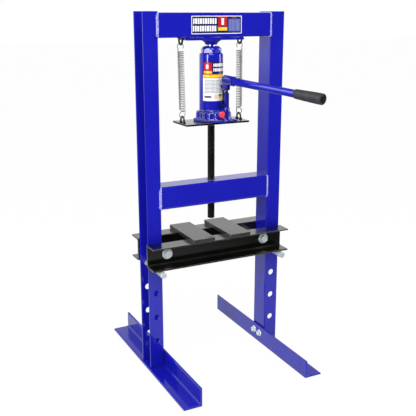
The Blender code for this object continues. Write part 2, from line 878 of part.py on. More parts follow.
def make_handle(jack):
    """The fork and socket on the plunger pin, and the handle tube with its grip."""
    pivot = empty("handle_pivot", (pump_right, -pump_forward, plunger_pin_height), parent=jack)
    line = empty("handle_line", (0.0, 0.0, handle_rise), (math.radians(90) + handle_slope, 0.0, 0.0), pivot)
    socket = turned("handle_socket", [
        (socket_bore, socket_mouth),
        (socket_radius, socket_mouth),
        (socket_radius, socket_back),
        (socket_bore, socket_back),
    ], ring=True, parent=line)
    back = link_forward - pump_forward
    rise = link_head_height - plunger_pin_height
    edge = link_head_pin_radius + 0.0021
    front = 0.007
    weld_back = 0.0055
    under = handle_rise - socket_radius + 0.0019  # inside the socket's wall
    cheek = rounded([
        (back - edge, rise + edge, edge - 0.0001),
        (back - edge, rise - edge, edge - 0.0001),
        (-front, -0.006, 0.004),
        (0.006, -0.006, 0.005),
        (front, under - front * math.tan(handle_slope), 0.0),
        (-weld_back, under + weld_back * math.tan(handle_slope), 0.0),
    ])
    for label, side in (("right", cheek_outer), ("left", -cheek_inner)):
        join(socket, plate(
            f"handle_socket_cheek_{label}", cheek, cheek_thick,
            place=(side, 0.0, 0.0), turn=side_on, parent=pivot,
        ))
    link_pin_place = (0.0, -back, rise)
    for label, place, radius in (
        ("plunger", (0.0, 0.0, 0.0), link_pin_radius),
        ("link", link_pin_place, link_head_pin_radius),
    ):
        cut(socket, bar(
            f"handle_socket_{label}_hole", radius + gap, -0.01, 0.01,
            place=place, turn=towards_right, parent=pivot,
        ))
    finish(socket, blue)
    pivot_pin("link_head_pin", link_head_pin_radius, cheek_outer + gap, 0.0028, link_pin_place, pivot)
    tube_start = socket_back + 0.002
    tube_end = grip_end - 0.0135
    tube_inner = tube_radius - tube_wall
    tube = turned("handle_tube", [
        (tube_inner, tube_end),
        (tube_radius, tube_end),
        (tube_radius, tube_start),
        (tube_inner, tube_start),
    ], ring=True, parent=line)
    finish(tube, blue)
    wide = tube_radius + grip_thick
    narrow = tube_radius + 0.002
    grip = turned("handle_grip", [
        (0.0, grip_end),
        (wide - 0.00175, grip_end),
        (wide, grip_end - 0.0015),
        (wide, grip_end - 0.006),
        (narrow, grip_start + chamfer),
        (narrow - 0.0007, grip_start),
        (tube_radius + gap, grip_start),
        (tube_radius + gap, tube_end + gap),
        (0.0, tube_end + gap),
    ], sides=40, parent=line)
    finish(grip, rubber)


# Bed


def make_bed():
    bed = empty("bed_lift", (0.0, 0.0, bed_base))
    web = channel_depth / 2 + gap
    section = channel_outline(bed_height, bed_flange, bed_wall)
    for label, side in (("back", 1), ("front", -1)):
        outline = section if side > 0 else mirrored(section)
        channel = plate(
            f"bed_channel_{label}", outline, 2 * bed_reach,
            place=(-bed_reach, side * web, bed_height / 2), turn=along_x, parent=bed,
        )
        for x in (-tie_line, tie_line):
            cut(channel, bar(
                f"bed_channel_{label}_hole_{x:+.4f}", tie_radius + gap, -2 * web, 2 * web,
                place=(x, 0.0, bed_height / 2), turn=towards_front, parent=bed,
            ))
        finish(channel, black)
    clamp = web + bed_wall + gap
    washer = (0.013, 0.002)
    for label, x in (("left", -tie_line), ("right", tie_line)):
        bolt(
            f"tie_bolt_{label}", tie_radius, 2 * clamp + 0.012, 0.019, 0.007, washer,
            (x, -clamp, bed_height / 2), towards_back, bed,
        )
        nut(
            f"tie_nut_{label}", tie_radius, 0.019, 0.008, washer,
            (x, clamp, bed_height / 2), towards_back, bed,
        )
        reach = web - gap
        spacer = turned(f"spacer_sleeve_{label}", [
            (tie_radius + gap, reach),
            (0.009, reach),
            (0.009, -reach),
            (tie_radius + gap, -reach),
        ], ring=True, place=(x, 0.0, bed_height / 2), turn=towards_back, parent=bed)
        finish(spacer, steel)


def make_support_pins():
    """The bars through the uprights' holes that the bed stands on."""
    for label, side in (("left", -1), ("right", 1)):
        pin = turned(f"support_pin_{label}", [
            (0.0, pin_reach),
            (pin_radius - chamfer, pin_reach),
            (pin_radius, pin_reach - chamfer),
            (pin_radius, chamfer - pin_reach),
            (pin_radius - chamfer, -pin_reach),
            (0.0, -pin_reach),
        ], place=(side * pin_line, 0.0, pin_hole_heights[-1]), turn=towards_front)
        finish(pin, zinc)


def make_arbor_plates():
    length, depth, thick = arbor_size
    for label, x in arbor_places.items():
        arbor = box(
            f"arbor_plate_{label}", (-length / 2, -depth / 2, 0.0), (length / 2, depth / 2, thick),
            place=(x, 0.0, bed_top + gap),
        )
        finish(arbor, black)


def make_press():
    make_frame()
    make_screw_seat()
    make_springs()
    make_carriage()
    jack = empty("jack_axis", (0.0, 0.0, plate_top + gap), (0.0, 0.0, jack_turn))
    make_jack_base(jack)
    make_tank(jack)
    make_cap_nut(jack)
    make_cylinder_and_piston(jack)
    make_valve(jack)
    make_pump(jack)
    make_link(jack)
    make_handle(jack)
    make_bed()
    make_support_pins()
    make_arbor_plates()


make_press()
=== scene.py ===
import json
import math

import bmesh
import bpy
from mathutils import Matrix, Vector


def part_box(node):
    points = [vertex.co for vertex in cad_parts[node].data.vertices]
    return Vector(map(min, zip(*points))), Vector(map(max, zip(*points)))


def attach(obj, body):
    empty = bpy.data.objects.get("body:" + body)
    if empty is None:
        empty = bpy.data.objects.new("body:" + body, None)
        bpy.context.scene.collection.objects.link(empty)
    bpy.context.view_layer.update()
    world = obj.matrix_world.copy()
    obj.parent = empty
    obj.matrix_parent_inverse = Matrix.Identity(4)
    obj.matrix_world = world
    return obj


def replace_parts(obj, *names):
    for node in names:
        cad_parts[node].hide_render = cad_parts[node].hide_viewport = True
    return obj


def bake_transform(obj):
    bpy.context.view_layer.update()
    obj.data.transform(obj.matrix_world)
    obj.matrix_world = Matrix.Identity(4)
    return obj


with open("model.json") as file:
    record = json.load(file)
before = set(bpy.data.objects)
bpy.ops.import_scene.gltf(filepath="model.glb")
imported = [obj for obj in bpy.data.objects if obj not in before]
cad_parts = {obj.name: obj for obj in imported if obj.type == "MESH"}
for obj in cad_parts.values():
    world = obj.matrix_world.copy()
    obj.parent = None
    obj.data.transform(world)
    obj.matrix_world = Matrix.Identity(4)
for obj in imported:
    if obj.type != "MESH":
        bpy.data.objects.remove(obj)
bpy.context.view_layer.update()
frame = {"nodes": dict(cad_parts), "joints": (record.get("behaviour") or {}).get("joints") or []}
nodes = frame["nodes"]
print("press frame loaded")

mm = 0.001

# Measures taken from the frame


def middleOf(name):
    low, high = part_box(name)
    return (low + high) / 2


jackTurn = math.radians(16)
jackRight = Vector((math.cos(jackTurn), math.sin(jackTurn), 0))
jackFront = Vector((math.sin(jackTurn), -math.cos(jackTurn), 0))
tankLow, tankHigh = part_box("jack_tank")
tankAxis = Vector((*middleOf("jack_tank").xy, 0))
tankRadius = (tankHigh.x - tankLow.x) / 2
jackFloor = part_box("jack_base")[0].z
beamLow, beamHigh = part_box("top_beam")
middleLow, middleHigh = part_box("middle_beam")
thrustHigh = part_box("thrust_plate")[1]
seatLow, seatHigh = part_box("screw_seat")


# Nodes

socketKinds = {float: "Float", int: "Int"}


def newTree(name, inputs, outputs, kind="ShaderNodeTree"):
    # inputs gives each label's first value, or names the socket's kind where it has none
    tree = bpy.data.node_groups.new(name, kind)
    for label, value in inputs.items():
        named = isinstance(value, str)
        socket = tree.interface.new_socket(
            label, in_out="INPUT", socket_type="NodeSocket" + (value if named else socketKinds[type(value)]),
        )
        if not named:
            socket.default_value = value
    for label, value in outputs.items():
        tree.interface.new_socket(label, in_out="OUTPUT", socket_type="NodeSocket" + value)
    return tree, tree.nodes.new("NodeGroupInput").outputs, tree.nodes.new("NodeGroupOutput").inputs


def addNode(tree, kind, inputs=None, **settings):
    node = tree.nodes.new(kind)
    for key, value in settings.items():
        setattr(node, key, value)
    for key, value in (inputs or {}).items():
        if isinstance(value, bpy.types.NodeSocket):
            tree.links.new(value, node.inputs[key])
        else:
            node.inputs[key].default_value = value
    return node


def newMaterial(name):
    # with its tree, its first shader's inputs, and the place on the object
    material = bpy.data.materials.new(name)
    material.use_nodes = True
    tree = material.node_tree
    place = addNode(tree, "ShaderNodeTexCoord").outputs["Object"]
    return material, tree, tree.nodes["Principled BSDF"].inputs, place


def newObject(name, data):
    made = bpy.data.objects.new(name, data)
    bpy.context.scene.collection.objects.link(made)
    return made


def mathNode(tree, operation, first, second=0.0):
    return addNode(tree, "ShaderNodeMath", {0: first, 1: second}, operation=operation).outputs[0]


def product(tree, first, second):
    return mathNode(tree, "MULTIPLY", first, second)


def mixColor(tree, factor, first, second):
    first, second = ((*color, 1) if isinstance(color, tuple) else color for color in (first, second))
    node = addNode(tree, "ShaderNodeMix", {"Factor": factor, 6: first, 7: second}, data_type="RGBA")
    return node.outputs[2]


def mixValue(tree, factor, first, second):
    return addNode(tree, "ShaderNodeMix", {"Factor": factor, 2: first, 3: second}).outputs[0]


def mapValue(tree, value, low, high, newLow=0.0, newHigh=1.0):
    return addNode(tree, "ShaderNodeMapRange", {
        "Value": value, "From Min": low, "From Max": high, "To Min": newLow, "To Max": newHigh,
    }).outputs[0]


def useGroup(tree, group, inputs):
    return addNode(tree, "ShaderNodeGroup", inputs, node_tree=group).outputs


# Shader groups that several finishes share


def softEdgeGroup():
    # rounds the edges that catch the light, and tells where they are
    tree, source, sink = newTree(
        "softEdge", {"Radius": 0.001, "Break Up": 0.4, "Vector": "Vector"},
        {"Edge": "Float", "Normal": "Vector"},
    )
    rounded = addNode(tree, "ShaderNodeBevel", {"Radius": source["Radius"]}, samples=6).outputs[0]
    flat = addNode(tree, "ShaderNodeNewGeometry").outputs["Normal"]
    dot = addNode(tree, "ShaderNodeVectorMath", {0: rounded, 1: flat}, operation="DOT_PRODUCT")
    clearance = addNode(tree, "ShaderNodeAmbientOcclusion", {"Distance": 0.004}, samples=4)
    # the edge mask lightens edges in the finishes: partly edge wear, partly painted highlight
    edge = product(tree, mapValue(tree, dot.outputs["Value"], 0.995, 0.86),
                   mapValue(tree, clearance.outputs["AO"], 0.72, 0.92))
    edgeBreakNoise = addNode(tree, "ShaderNodeTexNoise", {"Vector": source["Vector"], "Scale": 160.0, "Detail": 3.0})
    edgeBreakDepth = product(tree, mapValue(tree, edgeBreakNoise.outputs["Fac"], 0.35, 0.65), source["Break Up"])
    tree.links.new(product(tree, edge, mathNode(tree, "SUBTRACT", 1.0, edgeBreakDepth)), sink["Edge"])
    tree.links.new(rounded, sink["Normal"])
    return tree


def toneDriftGroup():
    # slow drift in tone and gloss, as on sprayed or plated metal
    tree, source, sink = newTree(
        "toneDrift", {"Vector": "Vector", "Scale": 9.0, "Low": 0.9, "High": 1.1}, {"Value": "Float"},
    )
    drift = addNode(tree, "ShaderNodeTexNoise", {
        "Vector": source["Vector"], "Scale": source["Scale"], "Detail": 4.0, "Roughness": 0.6,
    })
    value = mapValue(tree, drift.outputs["Fac"], 0.3, 0.7, source["Low"], source["High"])
    tree.links.new(value, sink["Value"])
    return tree


def surfaceSkinGroup():
    # the fine skin of a sprayed coat or a casting, as a height
    tree, source, sink = newTree(
        "surfaceSkin", {"Vector": "Vector", "Scale": 700.0, "Pits": 0.0}, {"Height": "Float"},
    )
    skin = addNode(tree, "ShaderNodeTexNoise", {
        "Vector": source["Vector"], "Scale": source["Scale"], "Detail": 2.0,
    })
    pitSize = product(tree, source["Scale"], 0.45)
    pits = addNode(tree, "ShaderNodeTexVoronoi", {"Vector": source["Vector"], "Scale": pitSize})
    pitDepth = product(tree, mapValue(tree, pits.outputs["Distance"], 0.0, 0.5), source["Pits"])
    tree.links.new(mathNode(tree, "ADD", skin.outputs["Fac"], pitDepth), sink["Height"])
    return tree


def labelBoxGroup():
    # 1 inside a box on a flat label's own map, and 0 outside it
    tree, source, sink = newTree(
        "labelBox", {"Map": "Vector", "Left": 0.0, "Right": 1.0, "Foot": 0.0, "Head": 1.0},
        {"Mask": "Float"},
    )
    across, up, _ = addNode(tree, "ShaderNodeSeparateXYZ", {0: source["Map"]}).outputs
    inside = [
        product(tree, mathNode(tree, "GREATER_THAN", value, source[low]),
                mathNode(tree, "LESS_THAN", value, source[high]))
        for value, low, high in ((across, "Left", "Right"), (up, "Foot", "Head"))
    ]
    tree.links.new(product(tree, *inside), sink["Mask"])
    return tree


softEdge, toneDrift = softEdgeGroup(), toneDriftGroup()
surfaceSkin, labelBox = surfaceSkinGroup(), labelBoxGroup()
print("shader groups ready")


# Finishes

shaderInputs = {
    "Metallic": "metallic", "Specular IOR Level": "specular", "Coat Weight": "coat",
    "Coat Roughness": "coatRoughness", "Coat IOR": "coatIor",
}


def finish(name, look):
    material, tree, shader, place = newMaterial(name)
    if "stretch" in look:
        place = addNode(tree, "ShaderNodeMapping", {"Vector": place, "Scale": look["stretch"]}).outputs[0]
    tone = useGroup(tree, toneDrift, {"Vector": place, "Scale": look["driftScale"], "Low": 0.0, "High": 1.0})
    soft = useGroup(tree, softEdge, {"Vector": place, "Radius": look["edge"]})
    # edges mixed toward a lighter colour: partly edge wear, partly painted highlight where edges catch the
    # light
    edgeWearAndHighlight = product(tree, soft["Edge"], look["edgeWearAndHighlightAmount"])
    color = mixColor(tree, edgeWearAndHighlight, mixColor(tree, tone[0], look["dark"], look["light"]), look["edgeWearAndHighlight"])
    gloss = useGroup(tree, toneDrift, {
        "Vector": place, "Scale": look["driftScale"] * 3, "Low": look["roughness"] - look["uneven"],
        "High": look["roughness"] + look["uneven"],
    })
    skin = useGroup(tree, surfaceSkin, {"Vector": place, "Scale": look["skinScale"], "Pits": look["pits"]})
    bump = addNode(tree, "ShaderNodeBump", {
        "Height": skin[0], "Normal": soft["Normal"], "Strength": look["bump"], "Distance": look["bumpDepth"],
    })
    for label, value in (("Base Color", color), ("Roughness", gloss[0]), ("Normal", bump.outputs[0])):
        tree.links.new(value, shader[label])
    for label, key in shaderInputs.items():
        shader[label].default_value = look[key]
    return material


# the lighter edge colour and its amount stand for edge wear and painted highlight together
plainLook = {
    "driftScale": 7.0, "edge": 1.0 * mm, "edgeWearAndHighlightAmount": 0.0, "edgeWearAndHighlight": (0.5, 0.5, 0.5), "roughness": 0.3,
    "uneven": 0.03, "skinScale": 700.0, "pits": 0.0, "bump": 0.25, "bumpDepth": 0.06 * mm,
    "metallic": 0.0, "specular": 0.5, "coat": 0.0, "coatRoughness": 0.04, "coatIor": 1.5,
}
looks = {
    "bluePaint": {
        "dark": (0.0060, 0.0075, 0.34), "light": (0.0080, 0.0095, 0.385), "edgeWearAndHighlightAmount": 0.35,
        "edgeWearAndHighlight": (0.10, 0.11, 0.75), "edge": 1.2 * mm, "roughness": 0.24, "specular": 0.15,
        "coat": 1.0, "coatIor": 1.55,
    },
    "castBlue": {
        "dark": (0.004, 0.004, 0.17), "light": (0.008, 0.009, 0.36), "edgeWearAndHighlightAmount": 0.8,
        "edgeWearAndHighlight": (0.13, 0.14, 0.80), "driftScale": 60.0, "roughness": 0.18, "uneven": 0.05,
        "skinScale": 420.0, "pits": 0.5, "bump": 0.6, "bumpDepth": 0.2 * mm, "coat": 1.0,
    },
    # a darker copy of castBlue for the pump cylinder: painted shade
    "pumpBlue": {
        "dark": (0.003, 0.003, 0.15), "light": (0.006, 0.006, 0.27), "edgeWearAndHighlightAmount": 0.6,
        "edgeWearAndHighlight": (0.13, 0.14, 0.80), "driftScale": 60.0, "roughness": 0.2, "uneven": 0.05, "coat": 0.7,
    },
    # the near-white patches of this weld colour are painted glints on the beads
    "weldBluePaintedGlint": {
        "dark": (0.03, 0.03, 0.50), "light": (0.55, 0.56, 0.96), "driftScale": 420.0, "edge": 0.3 * mm,
        "roughness": 0.2, "skinScale": 900.0, "bump": 0.4, "bumpDepth": 0.1 * mm, "coat": 1.0,
    },
    "blackPaint": {
        "dark": (0.0015, 0.0015, 0.0010), "light": (0.0045, 0.0042, 0.0028), "edgeWearAndHighlightAmount": 1.0, "specular": 0.3,
        "edgeWearAndHighlight": (0.50, 0.50, 0.48), "stretch": (0.25, 1.0, 1.0), "driftScale": 22.0,
        "edge": 1.3 * mm, "uneven": 0.07, "skinScale": 900.0, "bump": 0.35, "coat": 1.0,
        "coatRoughness": 0.10, "coatIor": 1.58,
    },
    "blackRod": {
        "dark": (0.0025, 0.0025, 0.0025), "light": (0.008, 0.008, 0.0075), "driftScale": 30.0,
        "edge": 0.5 * mm, "roughness": 0.25, "uneven": 0.06, "coat": 0.3,
    },
    "plateBlack": {
        "dark": (0.016, 0.016, 0.016), "light": (0.040, 0.040, 0.038), "edgeWearAndHighlightAmount": 0.7,
        "edgeWearAndHighlight": (0.34, 0.34, 0.32), "driftScale": 90.0, "edge": 0.9 * mm, "roughness": 0.38,
        "uneven": 0.08, "skinScale": 500.0, "pits": 0.4, "bump": 0.6, "bumpDepth": 0.12 * mm,
        "coat": 0.8, "coatRoughness": 0.15,
    },
    "zincPlate": {
        "dark": (0.66, 0.74, 0.76), "light": (0.88, 0.95, 0.96), "edgeWearAndHighlightAmount": 0.3,
        "edgeWearAndHighlight": (0.95, 0.97, 0.98), "driftScale": 260.0, "edge": 0.5 * mm, "uneven": 0.10,
        "metallic": 0.25, "skinScale": 1200.0, "coat": 0.5,
    },
    "pinZinc": {
        "dark": (0.40, 0.45, 0.47), "light": (0.58, 0.63, 0.65), "driftScale": 180.0, "edge": 0.8 * mm,
        "uneven": 0.08, "metallic": 0.25, "coat": 0.5,
    },
    "springSteel": {
        "dark": (0.34, 0.35, 0.35), "light": (0.56, 0.57, 0.57), "driftScale": 300.0,
        "edge": 0.2 * mm, "roughness": 0.27, "uneven": 0.08, "metallic": 0.6,
    },
    "plainSteel": {
        "dark": (0.30, 0.30, 0.31), "light": (0.48, 0.48, 0.49), "edgeWearAndHighlightAmount": 0.3, "driftScale": 160.0,
        "edgeWearAndHighlight": (0.7, 0.7, 0.7), "edge": 0.4 * mm, "roughness": 0.36, "uneven": 0.1,
        "metallic": 0.9,
    },
    "hardChrome": {
        "dark": (0.66, 0.67, 0.69), "light": (0.76, 0.77, 0.79), "driftScale": 40.0,
        "edge": 0.4 * mm, "roughness": 0.10, "uneven": 0.03, "metallic": 1.0, "bump": 0.05,
    },
    "gripRubber": {
        "dark": (0.022, 0.024, 0.027), "light": (0.036, 0.039, 0.043), "driftScale": 55.0,
        "edge": 0.8 * mm, "roughness": 0.55, "uneven": 0.06, "skinScale": 1100.0, "pits": 0.5,
        "bump": 0.5, "bumpDepth": 0.1 * mm,
    },
    # near-black rubber of the seals; on the grip's end cap it is a black cap darkened further as painted
    # shade
    "sealRubber": {
        "dark": (0.002, 0.002, 0.002), "light": (0.004, 0.004, 0.004), "driftScale": 80.0,
        "edge": 0.3 * mm, "roughness": 0.5, "uneven": 0.06, "specular": 0.2,
    },
    "knobRed": {
        "dark": (0.70, 0.018, 0.040), "light": (0.90, 0.04, 0.07), "driftScale": 70.0,
        "edge": 1.6 * mm, "roughness": 0.25, "uneven": 0.05, "coat": 0.6,
    },
}
finishes = {name: finish(name, {**plainLook, **look}) for name, look in looks.items()}


def pairs(*kinds):
    return [f"{kind}_{side}" for kind in kinds for side in ("left", "right")]


nodeFinishes = {
    "bluePaint": [
        "left_upright", "right_upright", "left_foot", "right_foot", "top_beam", "middle_beam", "thrust_plate",
        "screw_seat", "jack_tank", "jack_cap_nut", "handle_tube",
    ],
    "castBlue": ["jack_base", "handle_socket"],
    # the pump cylinder takes the darker cast blue as painted shade
    "pumpBlue": ["pump_cylinder"],
    "blackPaint": ["carriage_plate", "bed_channel_front", "bed_channel_back"],
    "blackRod": [
        "press_ram", *pairs("spring_eye", "spring_loop"), "pump_link", "pump_plunger", "plunger_pin",
        "link_foot_pin", "link_head_pin",
    ],
    "plateBlack": pairs("arbor_plate"),
    "zincPlate": [
        *(f"{pair}_{end}" for pair in pairs("foot_bolt", "foot_nut") for end in ("front", "back")),
        *pairs("tie_bolt", "tie_nut", "spacer_sleeve"),
    ],
    "pinZinc": pairs("support_pin"),
    "springSteel": pairs("return_spring"),
    "plainSteel": ["ram_guide", "jack_cylinder", "release_screw"],
    "hardChrome": ["jack_piston", "extension_screw"],
    "gripRubber": ["handle_grip"],
    "sealRubber": ["piston_seal", "pump_seal", "filler_plug"],
    "knobRed": ["release_knob"],
}
for name, members in nodeFinishes.items():
    for member in members:
        for slot in nodes[member].material_slots:
            slot.material = finishes[name]
left = sorted(set(nodes) - {member for members in nodeFinishes.values() for member in members})
print("finishes on the frame's parts; without one:", left)


# Making pieces


def addPiece(name, mesh, finishName, body, sharp=40):
    # edges sharper than sharp degrees stay crisp; a piece that is blended between bodies has no body here
    mesh.materials.clear()
    mesh.materials.append(finishes[finishName])
    mesh.polygons.foreach_set("use_smooth", [True] * len(mesh.polygons))
    mesh.set_sharp_from_angle(angle=math.radians(sharp))
    piece = newObject(name, mesh)
    if body:
        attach(piece, body)
    return piece


def shellPiece(name, shells, finishName, body, sharp):
    return addPiece(name, meshOf(name, shells), finishName, body, sharp)


def meshOf(name, shells):
    # one mesh of several closed shells, each with its faces turned outwards
    build = bmesh.new()
    for points, faces in shells:
        part = bmesh.new()
        corners = [part.verts.new(point) for point in points]
        for face in faces:
            part.faces.new([corners[index] for index in face])
        bmesh.ops.remove_doubles(part, verts=part.verts, dist=1e-7)
        bmesh.ops.recalc_face_normals(part, faces=part.faces)
        carrier = bpy.data.meshes.new("shell")
        part.to_mesh(carrier)
        part.free()
        build.from_mesh(carrier)
        bpy.data.meshes.remove(carrier)
    mesh = bpy.data.meshes.new(name)
    build.to_mesh(mesh)
    build.free()
    return mesh


def loft(rings, capped=True):
    # skin over rings of equal length; a ring of one point is a pole
    points, rows, faces = [], [], []
    for ring in rings:
        rows.append(range(len(points), len(points) + len(ring)))
        points += ring
    for low, high in zip(rows, rows[1:]):
        count = max(len(low), len(high))
        for index in range(count):
            after = (index + 1) % count
            if len(low) == 1:
                faces.append((low[0], high[after], high[index]))
            elif len(high) == 1:
                faces.append((low[index], low[after], high[0]))
            else:
                faces.append((low[index], low[after], high[after], high[index]))
    if capped and len(rows[0]) > 1:
        faces.append(tuple(reversed(rows[0])))
    if capped and len(rows[-1]) > 1:
        faces.append(tuple(rows[-1]))
    return points, faces


def inMm(pairs):
    return [(first * mm, second * mm) for first, second in pairs]


def polar(radius, turn):
    return radius * math.cos(turn), radius * math.sin(turn)


def fullTurn(count):
    return [2 * math.pi * step / count for step in range(count)]


def arcTurns(first, last, steps):
    return [math.radians(first + (last - first) * step / steps) for step in range(steps + 1)]


def turned(profile, sides, place):
    # a profile of (radius, height) pairs turned round place's own z
    rings = []
    for radius, height in profile:
        turns = fullTurn(sides) if radius else [0]
        rings.append([place @ Vector((*polar(radius, turn), height)) for turn in turns])
    return loft(rings)


def turnedRing(profile, sides, place):
    # a profile that stays clear of the axis and closes on itself
    points, faces = turned([*profile, profile[0]], sides, place)
    return points, [face for face in faces if len(face) < 5]


def slab(outline, low, high, place):
    return loft([[place @ Vector((x, y, height)) for x, y in outline] for height in (low, high)])


def along(start, direction, up=Vector((0, 0, 1))):
    # a frame at start whose z runs along direction
    z = Vector(direction).normalized()
    x = up.cross(z).normalized() if abs(z.dot(up)) < 0.99 else Vector((1, 0, 0))
    y = z.cross(x)
    return Matrix.Translation(start) @ Matrix((x, y, z)).transposed().to_4x4()


# Trees of geometry nodes


def closeTree(tree, source, sink, geometry):
    smooth = addNode(tree, "GeometryNodeSetShadeSmooth", {"Geometry": geometry})
    whole = addNode(tree, "GeometryNodeRealizeInstances", {0: smooth.outputs[0]})
    dressed = addNode(tree, "GeometryNodeSetMaterial", {
        "Geometry": whole.outputs[0], "Material": source["Finish"],
    })
    tree.links.new(dressed.outputs[0], sink[0])


def pathOf(tree, source):
    return addNode(tree, "GeometryNodeObjectInfo", {"Object": source["Path"]}).outputs["Geometry"]


def sweep(tree, curve, resolution, radius, values=None):
    ring = addNode(tree, "GeometryNodeCurvePrimitiveCircle", {"Resolution": resolution, "Radius": radius})
    return addNode(tree, "GeometryNodeCurveToMesh", {
        "Curve": curve, "Profile Curve": ring.outputs["Curve"], "Fill Caps": True, **(values or {}),
    }).outputs[0]


def wireAlongPath():
    tree, source, sink = newTree(
        "wireAlongPath", {"Path": "Object", "Wire Radius": 0.001, "Sides": 8, "Finish": "Material"},
        {"Geometry": "Geometry"}, "GeometryNodeTree",
    )
    closeTree(tree, source, sink, sweep(tree, pathOf(tree, source), source["Sides"], source["Wire Radius"]))
    return tree


def rippledBead():
    # a weld bead that swells at each ripple and wanders a little off its path
    tree, source, sink = newTree("weldBead", {
        "Path": "Object", "Bead Radius": 0.0026, "Ripple Pitch": 0.0026, "Ripple Depth": 0.3,
        "Wander": 0.0008, "Seed": 3.0, "Finish": "Material",
    }, {"Geometry": "Geometry"}, "GeometryNodeTree")
    fine = addNode(tree, "GeometryNodeResampleCurve", {
        "Curve": pathOf(tree, source), "Length": mathNode(tree, "DIVIDE", source["Ripple Pitch"], 5.0),
    }, mode="LENGTH")
    run = addNode(tree, "GeometryNodeSplineParameter").outputs["Length"]
    wave = product(tree, mathNode(tree, "DIVIDE", run, source["Ripple Pitch"]), math.pi)
    swell = product(tree, mathNode(tree, "ABSOLUTE", mathNode(tree, "SINE", wave)), source["Ripple Depth"])
    uneven = addNode(tree, "ShaderNodeTexNoise", {"W": source["Seed"], "Scale": 170.0, "Detail": 1.0},
                     noise_dimensions="4D").outputs
    share = mathNode(tree, "ADD", mathNode(tree, "ADD", swell, product(tree, uneven["Fac"], 0.5)), 0.5)
    size = product(tree, source["Bead Radius"], share)
    thick = addNode(tree, "GeometryNodeSetCurveRadius", {"Curve": fine.outputs[0], "Radius": size})
    shift = addNode(tree, "ShaderNodeVectorMath", {0: uneven["Color"], 1: (0.5, 0.5, 0.5)},
                    operation="SUBTRACT")
    offset = addNode(tree, "ShaderNodeVectorMath", {
        0: shift.outputs[0], "Scale": product(tree, source["Wander"], 2.0),
    }, operation="SCALE")
    moved = addNode(tree, "GeometryNodeSetPosition", {
        "Geometry": thick.outputs[0], "Offset": offset.outputs[0],
    })
    closeTree(tree, source, sink, sweep(tree, moved.outputs[0], 9, 1.0, {"Scale": size}))
    return tree


wireTree, weldTree = wireAlongPath(), rippledBead()


def grow(name, tree, lines, values, finishName, body, sharp=40):
    # lines are (points, closed) pairs; the tree's result becomes a plain mesh
    curve = bpy.data.curves.new(name + "Path", "CURVE")
    curve.dimensions = "3D"
    for points, closed in lines:
        spline = curve.splines.new("POLY")
        spline.points.add(len(points) - 1)
        for target, point in zip(spline.points, points):
            target.co = (*point, 1)
        spline.use_cyclic_u = closed
    path = newObject(name + "Path", curve)
    host = newObject(name + "Host", bpy.data.meshes.new(name + "Host"))
    modifier = host.modifiers.new(tree.name, "NODES")
    modifier.node_group = tree
    given = {**values, "Path": path, "Finish": finishes[finishName]}
    for item in tree.interface.items_tree:
        if item.in_out == "INPUT" and item.name in given:
            modifier[item.identifier] = given[item.name]
    mesh = bpy.data.meshes.new_from_object(host.evaluated_get(bpy.context.evaluated_depsgraph_get()))
    for helper in (host, path):
        bpy.data.objects.remove(helper)
    bpy.data.curves.remove(curve)
    mesh.name = name
    return addPiece(name, mesh, finishName, body, sharp)


def circle(center, radius, count):
    return [Vector(center) + Vector((*polar(radius, turn), 0)) for turn in fullTurn(count)]


# Return springs, wound with a hook at each end

spring = {
    "wire": 1.25 * mm, "coil": 7.5 * mm, "turns": 33.5, "stepsPerTurn": 20, "sides": 8, "rise": 0.3 * mm,
    "hook": 8.2 * mm, "hookOpen": 40, "hookJoin": 222, "hookSteps": 16,
    "barrelInset": 3.2 * mm, "tail": 1.4 * mm,
    "lean": {"left": (-2.0 * mm, 1.35), "right": (0.0, 0.2)},  # sideways, and degrees from upright
}


def springPath(x, side, low, high):
    # from the upper hook's open end down the barrel to the lower hook's; low and high are the hooks' middles
    hook, coil = spring["hook"], spring["coil"]
    barrelHigh, barrelLow = high - hook - spring["barrelInset"], low + hook + spring["barrelInset"]
    curl = arcTurns(0, spring["hookJoin"] + spring["hookOpen"], spring["hookSteps"])
    upperStart = math.radians(-spring["hookOpen"])
    lowerStart = math.radians(180 - spring["hookJoin"])
    points = []
    for turn in curl:
        across, up = polar(hook, upperStart + turn)
        points.append((x + side * across, 0, high + up))
    points.append((x - side * coil, 0, barrelHigh + spring["tail"]))
    count = int(spring["turns"] * spring["stepsPerTurn"])
    for step in range(count + 1):
        across, ahead = polar(coil, math.pi + 2 * math.pi * step / spring["stepsPerTurn"])
        points.append((x + side * across, ahead, barrelHigh + (barrelLow - barrelHigh) * step / count))
    points.append((x + side * coil, 0, barrelLow - spring["tail"]))
    for turn in curl:
        across, up = polar(hook, lowerStart - turn)
        points.append((x + side * across, 0, low + up))
    return points


for label, side in (("left", 1), ("right", -1)):
    name = f"return_spring_{label}"
    low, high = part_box(name)
    x, _, z = middleOf(name)
    middle = Vector((x, 0, z))
    reach = spring["hook"] + spring["wire"]
    aside, lean = spring["lean"][label]
    tilt = Matrix.Translation(middle + Vector((aside, 0, spring["rise"])))
    tilt @= Matrix.Rotation(math.radians(-lean), 4, "Y")
    path = [tilt @ (Vector(point) - middle) for point in springPath(x, side, low.z + reach, high.z - reach)]
    wound = grow(
        f"coil_spring_{label}", wireTree, [(path, False)],
        {"Wire Radius": spring["wire"], "Sides": spring["sides"]}, "springSteel", None, 180,
    )
    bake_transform(wound)
    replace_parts(wound, name)

# the left eye stands a little further out than the right one
eye = {"wire": 2.4 * mm, "half": 10 * mm, "aside": -3.0 * mm, "sunk": 0.1 * mm}
eyeLow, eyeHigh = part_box("spring_eye_left")
eyeX = middleOf("spring_eye_left").x + eye["aside"]
eyeTop = eyeHigh.z - eye["sunk"]
bend = [(eyeX, eye["half"], eyeTop)]
for turn in arcTurns(0, 180, 12):
    across, down = polar(eye["half"], turn)
    bend.append((eyeX, across, eyeLow.z + eye["wire"] + eye["half"] - down))
bend.append((eyeX, -eye["half"], eyeTop))
hanger = grow("spring_hanger", wireTree, [(bend, False)], {"Wire Radius": eye["wire"], "Sides": 16},
              "blackRod", "frame")
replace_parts(hanger, "spring_eye_left")
print("springs wound")


# Weld beads

